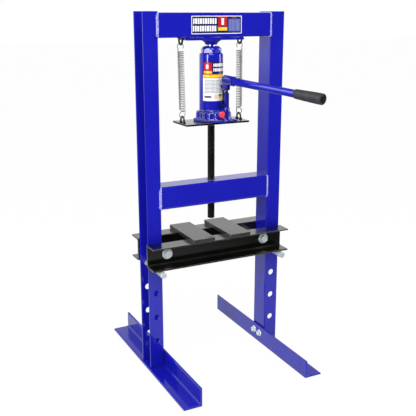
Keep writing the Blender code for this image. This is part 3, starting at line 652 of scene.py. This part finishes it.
weld = {
    "beam": 2.5 * mm, "beamInset": 0.9 * mm, "corner": 5 * mm, "beamPitch": 3.4 * mm, "beamWander": 0.9 * mm,
    "toe": (3.6 * mm, 0.4 * mm), "toeFoot": 4 * mm, "toeHead": 6 * mm,  # the bead beside the left seams
    "stitch": 1.9 * mm, "stitchPitch": 2.4 * mm, "stitches": ((-0.92, -0.45), (-0.2, 0.2), (0.45, 0.92)),
    "puddle": 2.0 * mm, "puddlePitch": 2.2 * mm, "puddleWander": 0.7 * mm, "puddleLift": 1.2 * mm,
    "seat": (0.4 * mm, 0.6 * mm), "ramDown": 1.0 * mm,  # out and down from a rim
    "beamSunk": 0.2 * mm, "proud": 0.3 * mm,  # how far a bead's middle lies in, or stands out
}


def beamSeam(x, low, high):
    # round a beam's end, in the plane across the press
    half = (high.z - low.z) / 2 - weld["beamSunk"]
    middle = (high.z + low.z) / 2
    inner = half - weld["corner"]
    points = []
    for corner, (cy, cz) in enumerate([(-1, 1), (-1, -1), (1, -1), (1, 1)]):
        for turn in arcTurns(90 * corner + 90, 90 * corner + 180, 3):
            across, up = polar(weld["corner"], turn)
            points.append((x, cy * inner + across, middle + cz * inner + up))
    return points


beamSeams, toes = [], []
for low, high, allRound in ((beamLow, beamHigh, True), (middleLow, middleHigh, False)):
    for side in (-1, 1):  # the middle beam has no bead on its top
        beamSeams.append((beamSeam(side * (high.x + weld["beamInset"]), low, high), allRound))
    toe = (low.x - weld["toe"][0], low.y + weld["toe"][1])
    toes.append(([(*toe, low.z + weld["toeFoot"]), (*toe, high.z - weld["toeHead"])], False))
beamBead = {"Bead Radius": weld["beam"], "Ripple Pitch": weld["beamPitch"], "Wander": weld["beamWander"]}
# the beam welds carry painted glints in their colour
grow("beam_welds", weldTree, beamSeams + toes, beamBead, "weldBluePaintedGlint", "frame")

stitches = []
for y in (-thrustHigh.y - weld["proud"], thrustHigh.y + weld["proud"]):
    for ends in weld["stitches"]:
        stitches.append(([(thrustHigh.x * end, y, thrustHigh.z) for end in ends], False))
seatOut, seatDown = weld["seat"]
stitches.append((circle((0, 0, seatHigh.z - seatDown), seatHigh.x + seatOut, 40), True))
grow("thrust_welds", weldTree, stitches,
     {"Bead Radius": weld["stitch"], "Ripple Pitch": weld["stitchPitch"], "Seed": 8.0}, "castBlue", "frame")

feet = {"eye": [], "loop": []}
for label in ("left", "right"):
    for kind in feet:
        low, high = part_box(f"spring_{kind}_{label}")
        wire = (high.x - low.x) / 2
        x = middleOf(f"spring_{kind}_{label}").x + (eye["aside"] if kind == "eye" and label == "left" else 0)
        height = high.z - weld["puddleLift"] if kind == "eye" else low.z + weld["puddleLift"]
        for y in (low.y + wire, high.y - wire):
            feet[kind].append((circle((x, y, height), wire + weld["proud"], 14), True))
puddle = {"Bead Radius": weld["puddle"], "Ripple Pitch": weld["puddlePitch"], "Wander": weld["puddleWander"]}
grow("eye_welds", weldTree, feet["eye"], {**puddle, "Seed": 5.0}, "castBlue", "frame")
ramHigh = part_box("press_ram")[1]
feet["loop"].append((circle((0, 0, ramHigh.z - weld["ramDown"]), ramHigh.x + weld["proud"], 24), True))
grow("carriage_welds", weldTree, feet["loop"], {**puddle, "Seed": 6.0}, "blackPaint", "carriage")
print("welds laid")


# Threads on the ends of the bolts, and washers under their heads

thread = {"wire": 0.42 * mm, "stepsPerTurn": 16, "sides": 4}
# a washer is its bore's radius, its own radius and its thickness, in millimetres
tieBolt = {"thread": 5.75 * mm, "pitch": 1.75 * mm, "tip": 0.8 * mm, "washer": (9.5, 14.6, 1.6)}
footBolt = {"thread": 3.8 * mm, "pitch": 1.25 * mm, "tip": 0.7 * mm, "washer": (6.0, 9.6, 1.4)}
channelWeb = 4 * mm


def threadPath(place, bolt, start, end):
    count = int((end - start) / bolt["pitch"] * thread["stepsPerTurn"])
    points = []
    for step in range(count + 1):
        x, y = polar(bolt["thread"], 2 * math.pi * step / thread["stepsPerTurn"])
        points.append(place @ Vector((x, y, start + (end - start) * step / count)))
    return points


def washerShell(place, bolt):
    inner, outer, thick = bolt["washer"]
    return turnedRing(inMm([
        (inner, 0.0), (outer, 0.0), (outer, thick * 0.6), (outer - thick * 0.4, thick), (inner, thick),
    ]), 40, place)


tieThreads, footThreads, bedWashers, footWashers = [], [], [], []
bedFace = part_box("bed_channel_front")[1].y - channelWeb
for label, side in (("left", -1), ("right", 1)):
    x, _, z = middleOf(f"tie_bolt_{label}")
    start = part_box(f"tie_nut_{label}")[1].y
    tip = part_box(f"tie_bolt_{label}")[1].y - tieBolt["tip"]
    tieThreads.append((threadPath(along(Vector((x, 0, z)), (0, 1, 0)), tieBolt, start, tip), False))
    bedWashers.append(washerShell(along(Vector((x, bedFace, z)), (0, -1, 0)), tieBolt))
    footFace = min(abs(bound.x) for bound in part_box(f"{label}_foot")) * side
    for end in ("front", "back"):
        _, y, z = middleOf(f"foot_bolt_{label}_{end}")
        start = max(abs(bound.x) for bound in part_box(f"foot_nut_{label}_{end}"))
        tip = max(abs(bound.x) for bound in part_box(f"foot_bolt_{label}_{end}")) - footBolt["tip"]
        footThreads.append((threadPath(along(Vector((0, y, z)), (side, 0, 0)), footBolt, start, tip), False))
        footWashers.append(washerShell(along(Vector((footFace, y, z)), (-side, 0, 0)), footBolt))
threadWire = {"Wire Radius": thread["wire"], "Sides": thread["sides"]}
grow("tie_bolt_threads", wireTree, tieThreads, threadWire, "zincPlate", "bed")
grow("foot_bolt_threads", wireTree, footThreads, threadWire, "zincPlate", "frame")
shellPiece("bed_washers", bedWashers, "zincPlate", "bed", 35)
shellPiece("foot_washers", footWashers, "zincPlate", "frame", 35)
print("threads cut and washers laid")


# The jack's base casting, with the bosses that stand on it

casting = {
    "points": 264, "lobes": 15, "lobeDepth": 2.6, "lobeEase": 0.6, "lobePhase": 0.35,
    # there are no lobes to the front and right of these, round the valve and the pump
    "plainFront": 30, "plainRight": -21, "linePoints": 1200, "arcSteps": 8,
    "flange": [(-38, -34, 10), (-38, 27, 4), (-12, 57, 4), (40, 57, 4), (40, -34, 10)],
    "body": [(-34, -30, 14), (-34, 25, 6), (-19, 44.5, 5), (-1, 45.5, 2), (1, 51, 3), (24, 51.5, 6),
             (34, 38, 6), (34, -30, 14)],
    # height, outline, how far out, share of the lobes
    "levels": [
        (0.3, "flange", -0.6, 0.0), (1.0, "flange", 0.0, 0.0), (5.0, "flange", 0.0, 0.0),
        (6.2, "flange", -0.6, 0.0), (6.8, "flange", -1.6, 0.0), (7.1, "body", 2.0, 0.55),
        (8.2, "body", 0.8, 0.8), (10.5, "body", 0.2, 1.0), (15.5, "body", 0.0, 1.0),
        (20.0, "body", -0.2, 1.0), (22.8, "body", -0.6, 0.95), (24.6, "body", -1.4, 0.8),
        (25.8, "body", -2.6, 0.5), (26.5, "body", -3.8, 0.2),
    ],
    # radius, height
    "collar": [(34.4, 26.7), (33.0, 26.9), (32.0, 28.0), (31.5, 29.8), (31.3, 30.6), (31.25, 26.95)],
    "crown": 26.9,
}


def roundedOutline(corners, count):
    # corners are (right, front, radius); the result is evenly spaced
    line = []
    for index, (x, y, radius) in enumerate(corners):
        here = Vector((x, y))
        before = (Vector(corners[index - 1][:2]) - here).normalized()
        after = (Vector(corners[(index + 1) % len(corners)][:2]) - here).normalized()
        half = before.angle(after) / 2
        back = radius / math.tan(half)
        middle = here + (before + after).normalized() * radius / math.sin(half)
        start = here + before * back - middle
        end = here + after * back - middle
        swing = start.angle_signed(end)
        for step in range(casting["arcSteps"] + 1):
            line.append(middle + Matrix.Rotation(-swing * step / casting["arcSteps"], 2) @ start)
    lengths = [0.0]
    for first, second in zip(line, line[1:] + line[:1]):
        lengths.append(lengths[-1] + (second - first).length)
    even, segment = [], 0
    for step in range(count):
        target = lengths[-1] * step / count
        while lengths[segment + 1] < target:
            segment += 1
        share = (target - lengths[segment]) / max(lengths[segment + 1] - lengths[segment], 1e-9)
        even.append(line[segment].lerp(line[(segment + 1) % len(line)], share))
    return even


def byAngle(outline, angles):
    # the outline's distance from the middle at each angle
    turns = sorted((math.atan2(point.y, point.x), point.length) for point in outline)
    turns = [(turns[-1][0] - 2 * math.pi, turns[-1][1]), *turns, (turns[0][0] + 2 * math.pi, turns[0][1])]
    radii, index = [], 0
    for turn in angles:
        while turns[index + 1][0] < turn:
            index += 1
        (first, near), (second, far) = turns[index], turns[index + 1]
        radii.append(near + (far - near) * (turn - first) / max(second - first, 1e-9))
    return radii


def castingShell():
    angles = [turn - math.pi for turn in fullTurn(casting["points"])]
    shapes = {name: byAngle(roundedOutline(casting[name], casting["linePoints"]), angles)
              for name in ("flange", "body")}
    lobes = []
    for turn, radius in zip(angles, shapes["body"]):
        right, front = polar(radius, turn)
        wave = abs(math.cos(casting["lobes"] * turn / 2 + math.pi * casting["lobePhase"]))
        plain = front > casting["plainFront"] and right > casting["plainRight"]
        lobes.append(0.0 if plain else (wave ** casting["lobeEase"] - 0.5) * casting["lobeDepth"])
    layers = [(height, [radius + out + share * lobe for radius, lobe in zip(shapes[name], lobes)])
              for height, name, out, share in casting["levels"]]
    layers += [(height, [radius] * len(angles)) for radius, height in casting["collar"]]
    rings = [
        [tankAxis + (jackRight * math.cos(turn) + jackFront * math.sin(turn)) * radius * mm
         + Vector((0, 0, jackFloor + height * mm)) for turn, radius in zip(angles, radii)]
        for height, radii in layers
    ]
    rings.append([tankAxis + Vector((0, 0, jackFloor + casting["crown"] * mm))])
    return loft(rings)


boss = turned(inMm([
    (0.0, 5), (10.0, 5), (9.6, 10), (8.9, 24), (8.6, 34), (8.3, 36.6), (7.6, 37.5), (6.85, 37.5), (6.85, 22),
    (0.0, 22),
]), 32, Matrix.Translation((*middleOf("pump_cylinder").xy, jackFloor)))
lug = {"radius": 3.7, "thick": 2.5, "starts": (2.4, -4.9)}
lugHead = [polar(lug["radius"], turn) for turn in arcTurns(0, 180, 9)]
lugShape = [(-4.6, -18.5), (4.6, -18.5), (3.8, -6.0), *lugHead, (-3.8, -6.0)]
sideways = Matrix((jackFront, Vector((0, 0, 1)), -jackRight)).transposed().to_4x4()
sideways = Matrix.Translation(middleOf("link_foot_pin")) @ sideways
lugs = [slab(inMm(lugShape), start * mm, (start + lug["thick"]) * mm, sideways) for start in lug["starts"]]
valveMiddle = middleOf("release_screw")
valveStart = tankAxis + jackRight * (valveMiddle - tankAxis).dot(jackRight) + Vector((0, 0, valveMiddle.z))
valveBoss = turned(inMm([
    (0.0, 34), (8.4, 34), (7.8, 45), (7.2, 49.0), (6.4, 49.8), (4.3, 49.8), (4.3, 46), (0.0, 46),
]), 28, along(valveStart, jackFront))
base = shellPiece("jack_base_casting", [castingShell(), boss, *lugs, valveBoss], "castBlue", "carriage",
                  50)
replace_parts(base, "jack_base")
print("casting poured")


# The jack's tank, with a rounded shoulder, and the nut that closes it

tank = {"shoulder": 5.0 * mm, "foot": 1.2 * mm, "bore": 19.2 * mm, "steps": 8}
tankProfile = [(tank["bore"], tankHigh.z), (tank["bore"], tankLow.z), (tankRadius - tank["foot"], tankLow.z),
               (tankRadius, tankLow.z + tank["foot"])]
for turn in arcTurns(0, 90, tank["steps"]):
    across, up = polar(tank["shoulder"], turn)
    tankProfile.append((tankRadius - tank["shoulder"] + across, tankHigh.z - tank["shoulder"] + up))
tankWall = turnedRing(tankProfile, 96, Matrix.Translation(tankAxis))
tankShell = shellPiece("tank_shell", [tankWall], "bluePaint", "carriage", 35)
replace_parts(tankShell, "jack_tank")

nut = {
    "flat": 24.6, "points": 96, "round": 16,  # levels narrower than round have no flats
    "levels": [(0.0, 26.6), (0.7, 27.5), (7.0, 27.5), (9.6, 26.6), (12.0, 25.0), (14.2, 22.8), (15.9, 20.2),
               (16.8, 17.8), (16.9, 15.6), (16.3, 14.7), (0.0, 14.6)],
}
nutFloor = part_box("jack_cap_nut")[0].z
nutRings = []
for height, limit in nut["levels"]:
    ring = []
    for turn in fullTurn(nut["points"]):
        face = math.radians((math.degrees(turn) % 60) - 30)
        radius = (min(nut["flat"] / math.cos(face), limit) if limit > nut["round"] else limit) * mm
        ring.append(tankAxis + Vector((*polar(radius, turn + jackTurn), nutFloor + height * mm)))
    nutRings.append(ring)
nutShell = loft([*nutRings, nutRings[0]], capped=False)
tankNut = shellPiece("tank_nut", [nutShell], "bluePaint", "carriage", 25)
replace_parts(tankNut, "jack_cap_nut")
print("tank closed")


# The cup that takes the screw's thrust

seatRadius, seatDeep = seatHigh.x / mm, (seatHigh.z - seatLow.z) / mm
cup = turned(inMm([
    (0.0, seatDeep), (seatRadius, seatDeep), (seatRadius, seatDeep - 2.6), (21.2, seatDeep - 3.6),
    (18.6, seatDeep - 5.4), (16.6, seatDeep - 8), (15.4, 1.6), (14.6, 0.4), (13.6, 0.0), (10.9, 0.0),
    (10.9, seatDeep - 2), (0.0, seatDeep - 2),
]), 48, Matrix.Translation((0, 0, seatLow.z)))
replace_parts(shellPiece("thrust_cup", [cup], "bluePaint", "frame", 35), "screw_seat")


# The handle's grip

grip = {"start": 230.0, "end": 312.0, "narrow": 11.2, "wide": 13.25, "bore": 9.8, "boreEnd": 300.8,
        "axisHeight": 775.8 * mm}
joints = {joint["name"]: joint for joint in frame["joints"]}
handleStart = Vector((*joints["handle_swing"]["pos_m"][:2], grip["axisHeight"]))
handleLine = along(handleStart, joints["handle_pull_out"]["axis"])


def gripRadius(s):
    # slim at the tube and full where the hand holds it
    share = (s - grip["start"]) / (grip["end"] - grip["start"])
    return grip["narrow"] + (grip["wide"] - grip["narrow"]) * min(1.0, share * 1.25) ** 0.8


gripProfile = [
    (0.0, grip["boreEnd"]), (grip["bore"], grip["boreEnd"]), (grip["bore"], grip["start"]),
    (10.6, grip["start"]), (11.0, grip["start"] + 0.6),
    *((gripRadius(s), s) for s in (232, 236, 240, 246, 254, 264, 274, 284, 294, 301, 306, 309)),
    (13.1, 310.6), (12.4, 311.6), (11.4, 312.0), (10.4, 311.9), (9.8, 311.0), (9.8, 309.0), (0.0, 309.0),
]
endProfile = [
    (0.0, 309.2), (9.6, 309.2), (9.6, 310.0), (9.0, 310.5), (6.4, 310.5), (5.9, 309.9), (4.6, 309.9),
    (4.1, 310.8), (2.2, 310.8), (1.7, 309.8), (0.0, 309.5),
]
sleeve = turned(inMm(gripProfile), 40, handleLine)
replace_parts(shellPiece("grip_sleeve", [sleeve], "gripRubber", "handle", 35), "handle_grip")
gripEnd = turned(inMm(endProfile), 36, handleLine)
# the end cap takes the near-black seal rubber: a black cap, darker still as painted shade
shellPiece("grip_end", [gripEnd], "sealRubber", "handle", 35)
print("grip fitted")


# The roots of the foot angles

root = {"radius": 4.0 * mm, "steps": 6, "sunk": 0.2 * mm, "wall": 5 * mm, "clear": 0.5 * mm}
rootShells = []
for label, side in (("left", -1), ("right", 1)):
    low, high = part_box(f"{label}_foot")
    wallX = side * (min(abs(low.x), abs(high.x)) + root["wall"])
    buried, under = wallX - side * root["sunk"], root["wall"] - root["sunk"]
    arc = [(buried, under), (wallX + side * root["radius"], under)]
    for turn in arcTurns(0, 90, root["steps"]):
        across, up = polar(root["radius"], turn)
        arc.append((wallX + side * (root["radius"] - up), root["wall"] + root["radius"] - across))
    arc.append((buried, root["wall"] + root["radius"]))
    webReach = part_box(f"{label}_upright")[1].y + root["clear"]
    for start, end in ((low.y, -webReach), (webReach, high.y)):
        rootShells.append(loft([[Vector((x, y, z)) for x, z in arc] for y in (start, end)]))
shellPiece("foot_roots", rootShells, "bluePaint", "frame", 50)
print("foot roots filled")


# Bare labels: fields of colour and plain blocks, with nothing written on them


labelLook = {"base": (0.80, 0.80, 0.82), "lowGloss": 0.28, "highGloss": 0.36, "coat": 0.4,
             "coatRoughness": 0.08, "stagger": 0.37}


def labelFinish(name, layers):
    # each layer is (color, left, right, foot, head), as shares of the label, with rows of blocks in some
    material, tree, shader, place = newMaterial(name)
    flat = addNode(tree, "ShaderNodeUVMap", uv_map="flat").outputs[0]
    color = labelLook["base"]
    for tint, left, right, foot, head, *blockRows in layers:
        bounds = {"Map": flat, "Left": left, "Right": right, "Foot": foot, "Head": head}
        mask = useGroup(tree, labelBox, bounds)[0]
        for rows in blockRows:
            shifted = addNode(tree, "ShaderNodeMapping", {"Vector": flat, "Location": (-left, -foot, 0)})
            blocks = addNode(tree, "ShaderNodeTexBrick", {
                "Vector": shifted.outputs[0], "Scale": 1.0, "Mortar Size": rows["gap"], "Mortar Smooth": 0.0,
                "Brick Width": rows["width"], "Row Height": rows["height"],
            }, offset=labelLook["stagger"], squash=rows["squash"], squash_frequency=2)
            mask = product(tree, mask, mathNode(tree, "SUBTRACT", 1.0, blocks.outputs["Fac"]))
        color = mixColor(tree, mask, color, tint)
    gloss = useGroup(tree, toneDrift, {
        "Vector": place, "Low": labelLook["lowGloss"], "High": labelLook["highGloss"],
    })
    tree.links.new(gloss[0], shader["Roughness"])
    tree.links.new(color, shader["Base Color"])
    shader["Coat Weight"].default_value = labelLook["coat"]
    shader["Coat Roughness"].default_value = labelLook["coatRoughness"]
    return material


def labelPiece(name, place, columns, thick, layers, body):
    # place(u, out) gives a point's foot and head at u; the label is a closed sheet
    rings = []
    for step in range(columns + 1):
        foot, head = place(step / columns, 0.0)
        footOut, headOut = place(step / columns, thick)
        rings.append([foot, footOut, headOut, head])
    mesh = meshOf(name, [loft(rings)])
    flat = mesh.uv_layers.new(name="flat")
    low, high = place(0, 0)
    for loop in mesh.loops:
        point = mesh.vertices[loop.vertex_index].co
        near = min(range(columns + 1), key=lambda step: (rings[step][1].xy - point.xy).length)
        flat.data[loop.index].uv = (near / columns, (point.z - low.z) / (high.z - low.z))
    finishes[name] = labelFinish(name + "Ink", layers)
    return addPiece(name, mesh, name, body, 30)


white, navy, red = (0.95, 0.95, 0.97), (0.003, 0.005, 0.085), (0.50, 0.004, 0.014)
yellow, orange, slate = (0.90, 0.60, 0.02), (0.85, 0.25, 0.02), (0.055, 0.075, 0.30)
black, faint, pale = (0.01, 0.01, 0.012), (0.19, 0.19, 0.21), (0.16, 0.19, 0.45)
blush, umber = (0.78, 0.52, 0.46), (0.20, 0.10, 0.01)
bigRows = {"gap": 0.008, "width": 0.030, "height": 0.60, "squash": 1.6}
headRows = {"gap": 0.011, "width": 0.040, "height": 0.5, "squash": 1.6}
fineRows = {"gap": 0.010, "width": 0.31, "height": 0.034, "squash": 0.8}
panelRows = {"gap": 0.008, "width": 0.12, "height": 0.075, "squash": 0.7}
beamLabel = {"left": -70 * mm, "right": 71.5 * mm, "foot": 890.2 * mm, "head": 934 * mm, "thick": 0.4 * mm}
tankLabel = {"sweep": math.radians(171.2), "foot": 722.4 * mm, "head": 822 * mm, "thick": 0.12 * mm,
             "gap": 0.03 * mm}
frontTurn = math.atan2(jackFront.y, jackFront.x)


def beamPlace(u, out):
    x = beamLabel["left"] + (beamLabel["right"] - beamLabel["left"]) * u
    return Vector((x, beamLow.y - out, beamLabel["foot"])), Vector((x, beamLow.y - out, beamLabel["head"]))


def wrapPlace(u, out):
    turn = frontTurn + tankLabel["sweep"] * (u - 0.5)
    across, ahead = polar(tankRadius + tankLabel["gap"] + out, turn)
    x, y = tankAxis.x + across, tankAxis.y + ahead
    return Vector((x, y, tankLabel["foot"])), Vector((x, y, tankLabel["head"]))


labelPiece("beam_label", beamPlace, 12, beamLabel["thick"], [
    (navy, 0.012, 0.988, 0.04, 0.96), (white, 0.035, 0.50, 0.55, 0.86, bigRows),
    (white, 0.027, 0.50, 0.14, 0.45, bigRows), (red, 0.525, 0.705, 0.40, 0.96),
    (white, 0.590, 0.640, 0.50, 0.86), (yellow, 0.525, 0.705, 0.18, 0.36),
    (slate, 0.725, 0.975, 0.12, 0.84), (pale, 0.74, 0.96, 0.16, 0.80, panelRows),
    (red, 0.80, 0.90, 0.87, 0.93),
], "frame")
labelPiece("tank_label", wrapPlace, 48, tankLabel["thick"], [
    (navy, -1, 2, 0.68, 2), (red, 0.03, 0.27, 0.76, 0.975), (yellow, 0.03, 0.27, 0.70, 0.76),
    (white, 0.10, 0.17, 0.82, 0.92), (white, 0.31, 0.95, 0.86, 0.95, headRows),
    (white, 0.31, 0.95, 0.74, 0.83, headRows), (orange, -1, 2, 0.58, 0.68),
    (yellow, -1, 2, 0.605, 0.655), (faint, 0.06, 0.94, 0.20, 0.55, fineRows),
    (black, 0.06, 0.25, 0.082, 0.128), (blush, 0.34, 0.43, 0.055, 0.165),
    (yellow, 0.465, 0.61, 0.055, 0.12), (umber, 0.465, 0.61, 0.12, 0.17),
], "carriage")
print("labels on")


# Camera, light, floor

cameraView = {"place": (-0.832, -1.633, 0.941), "tilt": 74.37, "turn": -26.74, "lens": 60.37, "sensor": 36}
camera = newObject("camera", bpy.data.cameras.new("camera"))
camera.location = cameraView["place"]
camera.rotation_euler = (math.radians(cameraView["tilt"]), 0, math.radians(cameraView["turn"]))
camera.data.lens = cameraView["lens"]
camera.data.sensor_width = cameraView["sensor"]
bpy.context.scene.camera = camera
bpy.context.scene.view_settings.view_transform = "Standard"

lamps = {  # place, what it points at, width and height, power
    "leftStrip": ((-2.1, -1.05, 1.25), (0, 0, 0.62), (0.5, 1.3), 22),
    "rightStrip": ((2.1, -0.9, 1.1), (0, 0, 0.62), (0.4, 1.2), 16),
    "leftBox": ((-2.2, 1.1, 2.4), (0.05, -0.15, 0.75), (1.5, 1.5), 20),
    "highBox": ((-0.7, -1.5, 2.7), (0, 0, 0.5), (1.6, 1.6), 46),
}
for name, (place, aim, extent, power) in lamps.items():
    data = bpy.data.lights.new(name, "AREA")
    data.shape = "RECTANGLE"
    data.size, data.size_y = extent
    data.energy = power
    placed = newObject(name, data)
    placed.location = place
    placed.rotation_euler = (Vector(aim) - Vector(place)).to_track_quat("-Z", "Y").to_euler()
    placed.visible_camera = False

# how bright it is all round, and what shiny parts reflect from each direction
sky = {"level": 0.57, "front": 0.01, "back": 0.88, "backFade": (-0.35, 0.45), "high": 0.2,
       "highFade": (0.36, 0.56)}
# what shiny parts reflect from the floor: near the press, further off, and before it
ground = {"near": 0.62, "nearFade": (0.65, 1.15), "far": 0.22, "farFade": (2.5, 14.0), "before": 0.06,
          "beforeFade": (-0.2, 0.6), "glow": 0.97, "color": (0.93, 0.93, 0.93, 1), "half": 20.0,
          "down": 0.5 * mm}


def studioSky():
    world = bpy.data.worlds.new("studioSky")
    world.use_nodes = True
    tree = world.node_tree
    tree.nodes.clear()
    rays = addNode(tree, "ShaderNodeLightPath").outputs
    towards = addNode(tree, "ShaderNodeTexCoord").outputs["Generated"]
    _, back, up = addNode(tree, "ShaderNodeSeparateXYZ", {0: towards}).outputs
    gloss = product(tree, mapValue(tree, back, *sky["backFade"], sky["front"], sky["back"]),
                    mapValue(tree, up, *sky["highFade"], 1.0, sky["high"]))
    shown = mixValue(tree, rays["Is Glossy Ray"], sky["level"], gloss)
    clear = mathNode(tree, "MAXIMUM", rays["Is Camera Ray"], rays["Is Transmission Ray"])
    background = addNode(tree, "ShaderNodeBackground", {
        "Color": (1, 1, 1, 1), "Strength": mixValue(tree, clear, shown, 1.0),
    })
    tree.links.new(background.outputs[0], addNode(tree, "ShaderNodeOutputWorld").inputs["Surface"])
    return world


def floorFinish():
    # white to the camera, and matte where the parts' shadows and light fall
    material = bpy.data.materials.new("studioFloor")
    material.use_nodes = True
    tree = material.node_tree
    tree.nodes.clear()
    rays = addNode(tree, "ShaderNodeLightPath").outputs
    spot = addNode(tree, "ShaderNodeTexCoord").outputs["Object"]
    reach = addNode(tree, "ShaderNodeVectorMath", {0: spot}, operation="LENGTH").outputs["Value"]
    near = mapValue(tree, reach, *ground["nearFade"], ground["near"], 0.0)
    far = mapValue(tree, reach, *ground["farFade"], ground["far"], sky["back"])
    back = addNode(tree, "ShaderNodeSeparateXYZ", {0: spot}).outputs[1]
    behind = mapValue(tree, back, *ground["beforeFade"], ground["before"])
    gloss = mathNode(tree, "MAXIMUM", near, product(tree, far, behind))
    clear = mathNode(tree, "MAXIMUM", rays["Is Glossy Ray"], rays["Is Transmission Ray"])
    share = mathNode(tree, "MAXIMUM", product(tree, rays["Is Camera Ray"], ground["glow"]), clear)
    glow = mixValue(tree, rays["Is Glossy Ray"], 1.0, gloss)
    bright = addNode(tree, "ShaderNodeEmission", {"Strength": glow})
    matte = addNode(tree, "ShaderNodeBsdfDiffuse", {"Color": ground["color"]})
    both = addNode(tree, "ShaderNodeMixShader", {0: share, 1: matte.outputs[0], 2: bright.outputs[0]})
    tree.links.new(both.outputs[0], addNode(tree, "ShaderNodeOutputMaterial").inputs["Surface"])
    return material


bpy.context.scene.world = studioSky()
floorMesh = bpy.data.meshes.new("studioFloor")
corners = [(x * ground["half"], y * ground["half"], 0) for x, y in ((-1, -1), (1, -1), (1, 1), (-1, 1))]
floorMesh.from_pydata(corners, [], [(0, 1, 2, 3)])
floorMesh.materials.append(floorFinish())
floor = newObject("studioFloor", floorMesh)
floor.location.z = -ground["down"]
print("studio ready")
